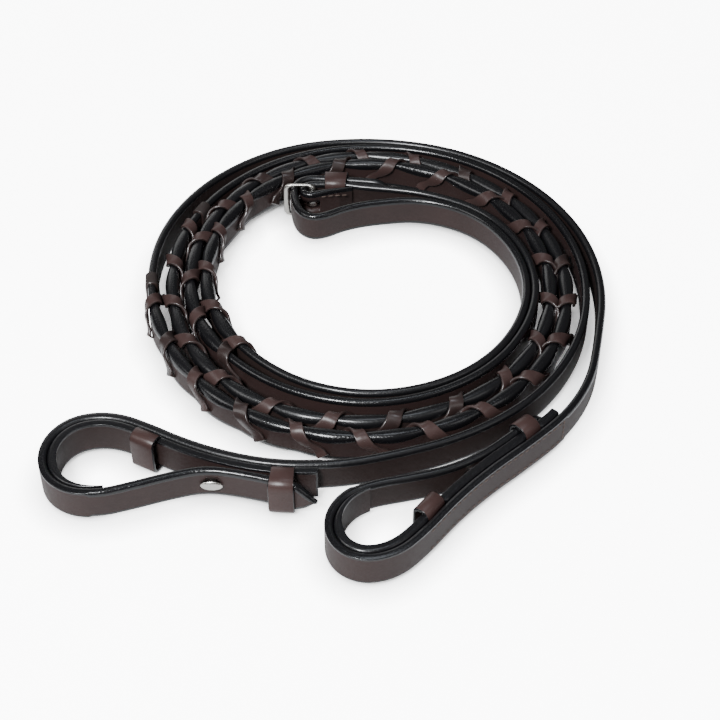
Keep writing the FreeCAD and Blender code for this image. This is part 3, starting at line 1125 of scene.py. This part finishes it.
    def fold_slot(self) -> Shape:
        """The slot in the chape's fold that the tongue's eye turns in.

        Returns:
            The shape to cut away.
        """
        behind, across, play = 12 * MM, 16 * MM, 1.0 * MM
        eye = size_of("buckle_tongue")
        bar = centre_of("buckle_frame")
        bar.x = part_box("buckle_frame")[1][0] - self.sizes.bar
        size = Matrix.Diagonal((self.sizes.fold + behind, across, eye.z + play, 1.0))
        middle = Vector((bar.x + (self.sizes.fold - behind) / 2, bar.y, bar.z))
        shape = Shape()
        bmesh.ops.create_cube(shape.mesh, size=1.0, matrix=Matrix.Translation(middle) @ size)
        return shape

    def stud_head(self) -> Vector:
        """The middle of this half's hook stud."""
        return centre_of(f"{self.half.value}_hook_stud")


@dataclass
class BitEnd:
    """The pieces at a bit end: the lining, two keepers, the hook stud and the stitching.

    The ring keeper's room is what it leaves free beside the lining. The stud's foot has a radius
    and a thickness, and its head has half sizes along, up and out.
    """

    strap: Strap
    ring_width: float = 10.2 * MM
    ring_room: float = 2.8 * MM
    point_width: float = 8.2 * MM
    skive: float = 30 * MM
    step: float = 1.25 * MM
    stud_shank: float = 1.6 * MM
    stud_foot: tuple[float, float] = (3.8 * MM, 0.9 * MM)
    stud_head: tuple[float, float, float] = (4.1 * MM, 2.2 * MM, 0.9 * MM)
    end_stitches: int = 4

    def __post_init__(self) -> None:
        """Finds where the keepers are along the strap."""
        strap = self.strap
        self.half, self.route, self.flesh = strap.half, strap.route, strap.half.flesh
        self.ring_keeper = strap.beside_billet(centre_of(f"{self.half.value}_ring_keeper"))
        self.point_keeper = strap.beside_billet(centre_of(f"{self.half.value}_point_keeper"))

    def off_flesh(self, depth: float) -> float:
        """The offset of what stands this far off the strap's flesh side."""
        return self.flesh * (self.strap.sizes.thickness / 2 + depth)

    def build(self, finishes: Finishes) -> list[bpy.types.Object]:
        """Makes every piece of the bit end.

        Args:
            finishes: what the reins are made of.

        Returns:
            The pieces.
        """
        pieces = [self.lining(finishes)]
        empty = KEEPER_LEATHER + LINING_THICKNESS + self.ring_room
        near, wide = self.off_flesh(GLUE_LINE), self.strap.sizes.width
        for name, at, width, far in (
            ("ring_keeper", self.ring_keeper, self.ring_width, empty),
            ("point_keeper", self.point_keeper, self.point_width, self.room_for_billet()),
        ):
            keeper = Keeper(self.route, at, width, near, self.off_flesh(far), wide)
            piece = keeper.build(f"{self.half.value}_{name}_leather", finishes.keeper)
            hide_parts(f"{self.half.value}_{name}")
            pieces.append(piece)
        return [*pieces, self.stud(finishes), *self.stitching(finishes)]

    def room_for_billet(self) -> float:
        """How far off the strap's flesh side the point keeper reaches, round the billet.

        Returns:
            The depth from the strap's skin to the keeper's.
        """
        gaps = []
        for side in (-1, 1):
            spot = self.route.spot(self.point_keeper + side * 4 * MM)
            billet = self.strap.on_billet(spot)
            gaps.append((self.route.spot(billet) - spot).length)
        return max(gaps) + KEEPER_SLACK + KEEPER_LEATHER

    def lining(self, finishes: Finishes) -> bpy.types.Object:
        """The second layer of leather, skived thin where it ends on the billet.

        Args:
            finishes: what the reins are made of.

        Returns:
            The lining.
        """
        start, end = self.strap.lining_start, self.strap.lining_end
        rings = round((end - start) / self.step)
        stations = [start + (end - start) * i / rings for i in range(rings + 1)]
        half_width = self.strap.sizes.width / 2

        def section(distance: float) -> list[tuple[float, float, float]]:
            """The lining's outline.

            Args:
                distance: along the strap.

            Returns:
                Points round the outline there: offset, height and share of dye.
            """
            near = GLUE_LINE + (KEEPER_LEATHER if self.under_keeper(distance) else 0.0)
            skive = min(1.0, 0.10 + (end - distance) / self.skive)
            far = GLUE_LINE + (LINING_THICKNESS - GLUE_LINE) * skive
            half = max(0.12 * MM, (far - near) / 2)
            sizes = self.strap.sizes
            joint, rounding = min(sizes.joint, 0.5 * half), min(sizes.rounding, 0.9 * half)
            outline = Section(
                half, half_width,
                left=rounding if self.flesh > 0 else joint,
                right=rounding if self.flesh < 0 else joint,
                crown=0.1 * MM, dyed=sizes.dyed,
            ).outline()
            return [(self.off_flesh((near + far) / 2) + x, z, dye) for x, z, dye in outline]

        sections = [section(s) for s in stations]
        rounds = [outline_lengths([(x, z) for x, z, _ in outline]) for outline in sections]
        sides = len(sections[0])
        shape = Shape("edge", "flesh")
        shape.sleeve(
            rings, sides,
            lambda ring, side: self.route.spot(stations[ring], *sections[ring][side][:2]),
            uv=lambda ring, side: (stations[ring], rounds[ring][side]),
            marks={
                "edge": lambda ring, side: 1.0 if ring == 0 else sections[ring][side][2],
                "flesh": lambda ring, side: 0.4,
            },
        )
        lining = shape.piece(f"{self.half.value}_lining_leather", finishes.lining)
        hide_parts(f"{self.half.value}_liner")
        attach(lining, "reins")
        return lining

    def under_keeper(self, distance: float) -> bool:
        """True where a keeper's caught side lies between the strap and the lining."""
        at_ring = abs(distance - self.ring_keeper) < self.ring_width / 2
        return at_ring or abs(distance - self.point_keeper) < self.point_width / 2

    def stud(self, finishes: Finishes) -> bpy.types.Object:
        """The hook stud: a foot and a shank from under the lining, and an oval domed head.

        Args:
            finishes: what the reins are made of.

        Returns:
            The stud.
        """
        billet = self.strap.on_billet(self.strap.stud_head())
        base = self.strap.beside_billet(self.route.spot(billet))
        outward = -self.flesh * (self.strap.sizes.thickness / 2 + 0.5 * MM)
        root = self.route.spot(base, self.off_flesh(GLUE_LINE))
        seat = self.route.spot(billet, outward)
        _, left = self.route.at(billet)
        out = left * -self.flesh
        ahead = Vector((left.y, -left.x, 0.0))
        turn = Matrix((ahead, Vector((0.0, 0.0, 1.0)), out)).transposed().to_4x4()
        foot_radius, foot = self.stud_foot
        shape = Shape()
        shape.rod(root, seat + out * 0.6 * MM, self.stud_shank)
        shape.rod(root, root + (seat - root).normalized() * foot, foot_radius, 32)
        middle = Matrix.Translation(seat + out * 0.55 * MM)
        shape.ball(middle @ turn @ Matrix.Diagonal((*self.stud_head, 1.0)), 32, 16)
        piece = shape.piece(f"{self.half.value}_hook_stud_metal", finishes.nickel, 60.0)
        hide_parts(f"{self.half.value}_hook_stud")
        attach(piece, "reins")
        return piece

    def stitching(self, finishes: Finishes) -> list[bpy.types.Object]:
        """Two rows of thread along the grain face, and a row across the end of the lining.

        Args:
            finishes: what the reins are made of.

        Returns:
            The thread of the rows along, and the thread across.
        """
        grain = -self.flesh * self.strap.sizes.thickness / 2
        half_width = self.strap.sizes.width / 2
        first = self.strap.lining_start + SEAM_MARGIN
        last = self.ring_keeper + 10 * MM
        shape = Shape()
        for rise in (half_width - SEAM_MARGIN, SEAM_MARGIN - half_width):
            stitch_row(shape, self.route, first, last, grain, rise)
        rows = shape.piece(f"{self.half.value}_bit_thread", finishes.thread)
        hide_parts(f"{self.half.value}_bit_stitching")
        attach(rows, "reins")

        shape = Shape()
        for i in range(self.end_stitches):
            rise = (i - (self.end_stitches - 1) / 2) * 2.5 * MM
            stitch(shape, self.route, first - SEAM_MARGIN / 2, grain, rise, upright=True)
        # The pointed half's end row is given the pale thread: a painted highlight along the
        # stitches.
        thread = finishes.pale_highlight_thread if self.half is Half.POINTED else finishes.thread
        across = shape.piece(f"{self.half.value}_end_thread", thread)
        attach(across, "reins")
        return [rows, across]


def stitch(
    shape: Shape, route: Route, distance: float, offset: float, rise: float, upright: bool = False
) -> None:
    """Adds one stitch, half sunk in the leather.

    Args:
        shape: the thread in the making.
        route: of the strap that is sewn.
        distance: along the route, to the middle of the stitch.
        offset: of the leather's face, to the left of the route.
        rise: of the stitch above the route.
        upright: True where it lies across the strap, not along it.
    """
    _, left = route.at(distance)
    ahead = Vector((left.y, -left.x, 0.0))
    up = Vector((0.0, 0.0, 1.0))
    long, wide = (up, ahead) if upright else (ahead, up)
    turn = Matrix((long, wide, long.cross(wide))).transposed().to_4x4()
    size = Matrix.Diagonal((1.15 * MM, 0.33 * MM, 0.28 * MM, 1.0))
    shape.ball(Matrix.Translation(route.spot(distance, offset, rise)) @ turn @ size)


def stitch_row(
    shape: Shape, route: Route, first: float, last: float, offset: float, rise: float
) -> None:
    """Adds a row of stitches along the strap.

    Args:
        shape: the thread in the making.
        route: of the strap that is sewn.
        first: where the row starts, along the route.
        last: where it ends.
        offset: of the leather's face, to the left of the route.
        rise: of the row above the route.
    """
    for i in range(int((last - first) / STITCH_PITCH)):
        stitch(shape, route, first + STITCH_PITCH * (i + 0.5), offset, rise)


@dataclass(frozen=True)
class Keeper:
    """A loop of thin leather round a strap and what lies beside it.

    It is centred at a distance along the route, and its near and far sides are offsets from it.
    """

    route: Route
    distance: float
    width: float
    near: float
    far: float
    strap_width: float
    bow: float = 0.35 * MM
    corner: float = 3.4 * MM
    edge: float = 0.3 * MM

    def build(self, name: str, material: bpy.types.Material) -> bpy.types.Object:
        """Makes the loop: a rounded box in section, with its leather's own rounded edges.

        Args:
            name: the piece's name.
            material: the leather.

        Returns:
            The piece, riding on the reins.
        """
        middle = (self.near + self.far) / 2
        half_depth = abs(self.far - self.near) / 2 - KEEPER_LEATHER / 2
        half_height = self.strap_width / 2 + KEEPER_SLACK + KEEPER_LEATHER / 2
        corner = min(self.corner, 0.85 * half_depth)
        path = self.filled(rounded_box(half_depth, half_height, corner, 6))
        band = rounded_box(self.width / 2, KEEPER_LEATHER / 2, 0.42 * MM, 2)
        rings = len(path)
        normals = []
        for i in range(rings):
            before, after = path[i - 1], path[(i + 1) % rings]
            along = Vector((after[0] - before[0], after[1] - before[1])).normalized()
            normals.append((along.y, -along.x))
        around = outline_lengths(path)
        sides = outline_lengths(band)

        def place(ring: int, side: int) -> Vector:
            """A point of the loop's skin.

            Args:
                ring: the ring's number.
                side: the point's number in its ring.

            Returns:
                The point.
            """
            along, lift = band[side]
            lift -= self.bow * (2 * along / self.width) ** 2
            across = path[ring][0] + normals[ring][0] * lift
            up = path[ring][1] + normals[ring][1] * lift
            return self.route.spot(self.distance + along, middle + across, up)

        shape = Shape("edge", "flesh")
        shape.sleeve(
            rings, len(band), place,
            uv=lambda ring, side: (around[ring], sides[side]),
            marks={
                "edge": lambda ring, side: float(abs(band[side][0]) > self.width / 2 - self.edge),
                "flesh": lambda ring, side: float(band[side][1] < 0),
            },
            closed=True,
        )
        keeper = shape.piece(name, material)
        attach(keeper, "reins")
        return keeper

    @staticmethod
    def filled(path: Sequence[Spot], step: float = 1.5 * MM) -> list[Spot]:
        """Divides a path's straight sides into short divisions.

        Args:
            path: points round the path.
            step: how long a division is.

        Returns:
            Points round the divided path.
        """
        points = []
        for (ax, ay), (bx, by) in zip(path, [*path[1:], path[0]]):
            parts = max(1, round(math.dist((ax, ay), (bx, by)) / step))
            shares = [i / parts for i in range(parts)]
            points += [(ax + (bx - ax) * share, ay + (by - ay) * share) for share in shares]
        return points


@dataclass
class Lacing:
    """The thong laced along a half, over the upper edge and down each face to its slits."""

    strap: Strap
    width: float = THONG_WIDTH
    thickness: float = THONG_THICKNESS
    band_width: float = 7.0 * MM
    rings: int = 44

    def build(self, finishes: Finishes) -> list[bpy.types.Object]:
        """Makes the lacing and the band that binds down its end.

        Args:
            finishes: what the reins are made of.

        Returns:
            The lacing and the band.
        """
        wobble = random.Random(7 if self.strap.half is Half.POINTED else 11)
        shape = Shape("edge", "flesh")
        for turn in range(self.strap.lace.turns):
            self.turn(shape, self.strap.lace_start + self.strap.lace.pitch * turn, wobble)
        lacing = shape.piece(f"{self.strap.half.value}_lacing_thong", finishes.thong)
        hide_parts(f"{self.strap.half.value}_lacing")
        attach(lacing, "reins")
        return [lacing, self.band(finishes)]

    def turn(self, shape: Shape, distance: float, wobble: random.Random) -> None:
        """Adds one turn of the thong, centred where it crosses the upper edge.

        Args:
            shape: the lacing in the making.
            distance: along the strap, to the middle of the crossing.
            wobble: the unevenness of hand work.
        """
        lace = self.strap.lace
        thick = self.strap.sizes.thickness / 2 + lace.swell * 0.6
        girth = self.strap.sizes.width - lace.slit_height - thick + thick * math.pi / 2
        distance += wobble.uniform(-1.0, 1.0) * lace.unevenness
        half_run = lace.pitch / 2 * wobble.uniform(0.93, 1.0)
        flare = wobble.uniform(0.9, 1.06)
        outline = rounded_box(self.width / 2 * flare, self.thickness / 2, 0.38 * MM, 2)
        lengths = outline_lengths(outline)
        lean = self.strap.half.flesh

        def place(ring: int, side: int) -> Vector:
            """A point of the thong's skin.

            Args:
                ring: the ring's number.
                side: the point's number in its ring.

            Returns:
                The point.
            """
            t = 2 * ring / self.rings - 1
            across, up = outline[side]
            # It narrows on the faces, where it is pulled tight, humps just before its slit and
            # dives into it at the very end.
            dive = max(0.0, (abs(t) - 0.93) / 0.07)
            hump = math.exp(-(((abs(t) - 0.90) / 0.06) ** 2))
            narrow = 1 - 0.30 * math.exp(-(((abs(t) - 0.62) / 0.16) ** 2)) - 0.25 * dive
            lift = GLUE_LINE + self.thickness / 2 + lace.hump * hump - lace.tuck * dive ** 1.5
            run, turned = self.path(t, half_run, girth)
            next_run, next_turned = self.path(t + 0.01, half_run, girth)
            along = Vector((next_run - run, next_turned - turned)).normalized()
            run -= along.y * across * narrow
            aside = along.x * across * narrow
            turned += aside
            # The lower side of the thong stands off the face a little.
            flap = max(0.0, math.copysign(aside, turned * aside)) * (1 - dive)
            lift += 0.25 * flap * min(1.0, max(0.0, 2.5 * abs(t) - 0.6))
            past_corner = (abs(turned) - thick * math.pi / 2) / lace.shoulder_reach
            lift += lace.shoulder * math.exp(-(past_corner ** 2))
            return self.strap.surface(distance + lean * run, turned, lift + up)

        shape.sleeve(
            self.rings, len(outline), place,
            uv=lambda ring, side: (distance + 0.6 * MM * ring, lengths[side]),
            marks={
                "edge": lambda ring, side: 0.6 * (abs(outline[side][0]) > self.width * 0.43),
                "flesh": lambda ring, side: 0.0,
            },
        )

    @staticmethod
    def path(t: float, half_run: float, girth: float) -> Spot:
        """Where the thong's middle is.

        Args:
            t: the share of the turn, from one slit at -1 to the other at 1.
            half_run: how far along the strap each slit is from the crossing.
            girth: how far round the strap each slit is from the crossing.

        Returns:
            The place along the strap and round it, from the crossing.
        """
        return half_run * t, girth * (t + 0.07 * math.sin(2 * math.pi * t))

    def band(self, finishes: Finishes) -> bpy.types.Object:
        """The flat band that binds down the end of the thong.

        Args:
            finishes: what the reins are made of.

        Returns:
            The band.
        """
        strap = self.strap
        start = strap.lace_start + strap.lace.length
        half_thick = strap.sizes.thickness / 2 + GLUE_LINE
        half_wide = strap.sizes.width / 2 + GLUE_LINE
        keeper = Keeper(
            strap.route, start + self.band_width / 2, self.band_width,
            -half_thick - KEEPER_LEATHER, half_thick + KEEPER_LEATHER,
            2 * (half_wide - KEEPER_SLACK), bow=0.5 * MM,
        )
        band = keeper.build(f"{strap.half.value}_lace_band_leather", finishes.band)
        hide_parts(f"{strap.half.value}_lace_band")
        return band


# ---------------------------------------------------------------------------- buckle


@dataclass(frozen=True)
class BuckleSizes:
    """The centre buckle, from its round bar to its broad end bar."""

    bar: float = 1.6 * MM
    rail: float = 0.75 * MM
    end_bar: float = 1.4 * MM
    corner: float = 2.2 * MM
    tongue: float = 0.9 * MM
    eye_wall: float = 1.1 * MM
    clearance: float = 0.06 * MM


@dataclass
class Buckle:
    """The centre buckle's frame and tongue, which turn on the same upright bar."""

    sizes: BuckleSizes

    def __post_init__(self) -> None:
        """Finds the bar in the solid model, and how far and how high the frame reaches."""
        low, high = (Vector(corner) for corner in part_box("buckle_frame"))
        middle = (low + high) / 2
        self.bar = Vector((high.x - self.sizes.bar, middle.y, middle.z))
        self.reach = high.x - self.sizes.bar - low.x
        self.height = high.z - low.z

    def build(self, finishes: Finishes) -> list[bpy.types.Object]:
        """Makes the frame and the tongue.

        Args:
            finishes: what the reins are made of.

        Returns:
            The frame and the tongue.
        """
        pieces = [self.frame(finishes), self.tongue(finishes)]
        for piece, node in zip(pieces, ("buckle_frame", "buckle_tongue")):
            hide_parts(node)
            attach(piece, node)
        return pieces

    def frame(self, finishes: Finishes) -> bpy.types.Object:
        """The rectangular frame, of a round bar, two slim rails and a broad end bar.

        Args:
            finishes: what the reins are made of.

        Returns:
            The frame.
        """
        sizes = self.sizes
        depth = self.reach - sizes.end_bar
        half_height = self.height / 2 - sizes.rail
        path = Keeper.filled(rounded_box(depth / 2, half_height, sizes.corner, 6), 1.0 * MM)
        rings, sides = len(path), 16

        def thickness(ring: int) -> Spot:
            """How thick the metal is at a place in the frame.

            Args:
                ring: the ring's number.

            Returns:
                Half its size outwards, and half its size across.
            """
            x = path[ring][0] / (depth / 2)
            if x > 0:
                share = max(0.0, (x - 0.72) / 0.28)
                return (sizes.rail + (sizes.bar - sizes.rail) * share,) * 2
            share = max(0.0, (-x - 0.72) / 0.28)
            return sizes.rail + (sizes.end_bar - sizes.rail) * share, sizes.rail

        def place(ring: int, side: int) -> Vector:
            """A point of the frame's skin.

            Args:
                ring: the ring's number.
                side: the point's number in its ring.

            Returns:
                The point.
            """
            before, after = path[ring - 1], path[(ring + 1) % rings]
            along = Vector((after[0] - before[0], after[1] - before[1])).normalized()
            broad, thick = thickness(ring)
            angle = 2 * math.pi * side / sides
            outward = broad * math.cos(angle)
            x = path[ring][0] - depth / 2 + along.y * outward
            z = path[ring][1] - along.x * outward
            return self.bar + Vector((x, thick * math.sin(angle), z))

        shape = Shape()
        shape.sleeve(rings, sides, place, uv=lambda ring, side: (ring * MM, side * MM), closed=True)
        return shape.piece("buckle_frame_metal", finishes.nickel, 60.0)

    def tongue(self, finishes: Finishes) -> bpy.types.Object:
        """The tongue: an eye round the bar and a prong that lies across the end bar.

        Args:
            finishes: what the reins are made of.

        Returns:
            The tongue.
        """
        sizes = self.sizes
        tall = size_of("buckle_tongue").z
        inner = sizes.bar + sizes.clearance
        outline = rounded_box(sizes.eye_wall / 2, tall / 2, 0.3 * MM, 2)
        turns, steps, sides = 32, 24, 14
        level = sizes.rail + sizes.tongue + 0.15 * MM

        def eye(ring: int, side: int) -> Vector:
            """A point of the eye's skin.

            Args:
                ring: the ring's number.
                side: the point's number in its ring.

            Returns:
                The point.
            """
            out, up = outline[side]
            angle = 2 * math.pi * ring / turns
            radius = inner + sizes.eye_wall / 2 + out
            return self.bar + Vector((radius * math.cos(angle), radius * math.sin(angle), up))

        def prong(ring: int, side: int) -> Vector:
            """A point of the prong's skin.

            Args:
                ring: the ring's number.
                side: the point's number in its ring.

            Returns:
                The point.
            """
            t = ring / steps
            x = -sizes.bar / 2 - (self.reach - sizes.bar / 2) * t
            end = min(1.0, math.sqrt(max(0.0, 1 - max(0.0, (t - 0.9) / 0.1) ** 2)) + 0.02)
            radius = sizes.tongue * end * (1.0 + 0.25 * (1 - t))
            angle = 2 * math.pi * side / sides
            y = level + radius * math.sin(angle)
            return self.bar + Vector((x, y, radius * math.cos(angle)))

        def uv(ring: int, side: int) -> Spot:
            """A point's place on the UV map."""
            return ring * MM, side * MM

        shape = Shape()
        shape.sleeve(turns, len(outline), eye, uv, closed=True)
        shape.sleeve(steps, sides, prong, uv)
        return shape.piece("buckle_tongue_metal", finishes.nickel, 60.0)


@dataclass
class CentreEnd:
    """The leather at the centre buckle: the keeper and the seam of the turned-back chape."""

    strap: Strap
    keeper_width: float = 9.4 * MM
    seam: float = 16 * MM

    def build(self, finishes: Finishes) -> list[bpy.types.Object]:
        """Makes the keeper and the chape's stitching.

        Args:
            finishes: what the reins are made of.

        Returns:
            The keeper and the stitching.
        """
        return [self.keeper(finishes), self.stitching(finishes)]

    def keeper(self, finishes: Finishes) -> bpy.types.Object:
        """The keeper that holds the other half's tail.

        Args:
            finishes: what the reins are made of.

        Returns:
            The keeper.
        """
        route, thick = self.strap.route, self.strap.sizes.thickness
        at = route.nearest(centre_of("centre_keeper"), 30 * MM, 60 * MM)
        near = -thick / 2 - GLUE_LINE - KEEPER_LEATHER
        far = 1.5 * thick + 2 * KEEPER_SLACK + KEEPER_LEATHER
        keeper = Keeper(route, at, self.keeper_width, near, far, self.strap.sizes.width)
        piece = keeper.build("centre_keeper_leather", finishes.keeper)
        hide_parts("centre_keeper")
        return piece

    def stitching(self, finishes: Finishes) -> bpy.types.Object:
        """Two rows of thread through the chape.

        Args:
            finishes: what the reins are made of.

        Returns:
            The thread.
        """
        sizes = self.strap.sizes
        shape = Shape()
        for rise in (sizes.width / 2 - SEAM_MARGIN, SEAM_MARGIN - sizes.width / 2):
            stitch_row(shape, self.strap.route, SEAM_MARGIN, self.seam, sizes.thickness / 2, rise)
        seam = shape.piece("chape_thread", finishes.thread)
        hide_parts("chape_stitching")
        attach(seam, "reins")
        return seam


# ---------------------------------------------------------------------------- studio


@dataclass(frozen=True)
class Lamp:
    """A soft square light that looks at the reins."""

    name: str
    azimuth: float
    elevation: float
    away: float
    size: float
    power: float
    colour: tuple[float, float, float] = (1.0, 1.0, 1.0)


LAMPS = (
    Lamp("key", -26.0, 50.0, 1.0, 0.20, 17.0, (0.96, 0.98, 1.0)),
    Lamp("overhead", 150.0, 80.0, 1.2, 0.35, 2.0, (0.86, 0.92, 1.0)),
    Lamp("left_fill", -75.0, 35.0, 1.2, 0.5, 3.0),
    Lamp("right_fill", 60.0, 40.0, 1.2, 0.5, 1.2),
    Lamp("back_fill", 200.0, 18.0, 1.3, 0.8, 2.5),
)


@dataclass(frozen=True)
class Studio:
    """A plain pale floor, soft lights and the camera."""

    target: tuple[float, float, float] = (8.7375 * MM, -9.275 * MM, 2.1 * MM)
    elevation: float = 44.0
    distance: float = 623.4 * MM
    lens: float = 80.0
    glow: float = 9.0
    shade_reach: float = 12 * MM
    room_light: float = 0.09

    def build(self) -> None:
        """Sets up everything round the object."""
        self.floor()
        self.world()
        for lamp in LAMPS:
            self.light(lamp)
        self.camera()

    @staticmethod
    def towards(azimuth: float, elevation: float) -> Vector:
        """The direction to a place round the reins.

        Args:
            azimuth: degrees to the right of the front.
            elevation: degrees above the floor.

        Returns:
            The direction, with a length of 1.
        """
        a, e = math.radians(azimuth), math.radians(elevation)
        return Vector((math.sin(a) * math.cos(e), -math.cos(a) * math.cos(e), math.sin(e)))

    def floor(self) -> None:
        """The white sheet that the reins lie on. To the camera it glows white, dimmed by ambient
        occlusion into painted shade in the gaps between strands and a painted contact shadow round
        the reins.
        """
        material = bpy.data.materials.new("white sheet")
        material.use_nodes = True
        tree = Tree(material.node_tree)
        shader = material.node_tree.nodes["Principled BSDF"]
        shader.inputs["Base Color"].default_value = (0.8, 0.8, 0.8, 1.0)
        shader.inputs["Roughness"].default_value = 0.9
        shader.inputs["Emission Color"].default_value = (1.0, 1.0, 1.0, 1.0)
        seen = tree.add("LightPath").outputs["Is Camera Ray"]
        # Ambient occlusion dims the glow: painted shade in the narrow gaps and a painted contact
        # shadow beside the reins.
        painted_shade_occlusion = tree.add("AmbientOcclusion", {"samples": 8}, Distance=self.shade_reach)
        shade = tree.math("POWER", painted_shade_occlusion.outputs["AO"], 2.0)
        glow = tree.math("MULTIPLY", shade, self.glow)
        tree.feed(shader.inputs["Emission Strength"], tree.math("MULTIPLY", seen, glow))
        shape = Shape()
        bmesh.ops.create_grid(shape.mesh, x_segments=1, y_segments=1, size=4.0)
        shape.piece("floor", material)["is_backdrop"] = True

    def world(self) -> None:
        """The white room."""
        world = bpy.data.worlds.new("white room")
        world.use_nodes = True
        background = world.node_tree.nodes["Background"]
        background.inputs["Color"].default_value = (1.0, 1.0, 1.0, 1.0)
        background.inputs["Strength"].default_value = self.room_light
        bpy.context.scene.world = world

    def light(self, lamp: Lamp) -> None:
        """Hangs one light.

        Args:
            lamp: where it hangs, and how big and bright it is.
        """
        data = bpy.data.lights.new(lamp.name, "AREA")
        data.size = lamp.size
        data.energy = lamp.power
        data.color = lamp.colour
        light = bpy.data.objects.new(lamp.name, data)
        away = self.towards(lamp.azimuth, lamp.elevation)
        light.location = Vector(self.target) + away * lamp.away
        light.rotation_euler = away.to_track_quat("Z", "Y").to_euler()
        bpy.context.scene.collection.objects.link(light)
        light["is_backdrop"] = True

    def camera(self) -> None:
        """The camera, in front of the reins and above them."""
        data = bpy.data.cameras.new("camera")
        data.lens = self.lens
        data.sensor_width = 36.0
        camera = bpy.data.objects.new("camera", data)
        away = self.towards(0.0, self.elevation)
        camera.location = Vector(self.target) + away * self.distance
        camera.rotation_euler = away.to_track_quat("Z", "Y").to_euler()
        bpy.context.scene.collection.objects.link(camera)
        bpy.context.scene.camera = camera


def report(name: str, pieces: Iterable[bpy.types.Object]) -> None:
    """Logs the pieces of a sub-assembly, with their faces."""
    for piece in pieces:
        log.info("%s: %s, %d faces", name, piece.name, len(piece.data.polygons))


def main() -> None:
    """Builds the reins and the studio round them."""
    model_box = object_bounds()
    finishes = make_finishes()
    sizes = StrapSizes(width=size_of(Half.POINTED.strap).z)
    for half in Half:
        strap = Strap(half, sizes, LaceSizes())
        report(half.value, [strap.build(finishes)])
        report(half.value, Lacing(strap).build(finishes))
        report(half.value, BitEnd(strap).build(finishes))
        if half is Half.BUCKLE:
            report(half.value, CentreEnd(strap).build(finishes))
    report("centre_buckle", Buckle(BuckleSizes()).build(finishes))
    Studio().build()
    boxes = {"model": model_box, "look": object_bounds()}
    {name: [list(corner) for corner in box] for name, box in boxes.items()}


if __name__ == "__main__":
    logging.basicConfig(level=logging.INFO, format="%(message)s")
    main()
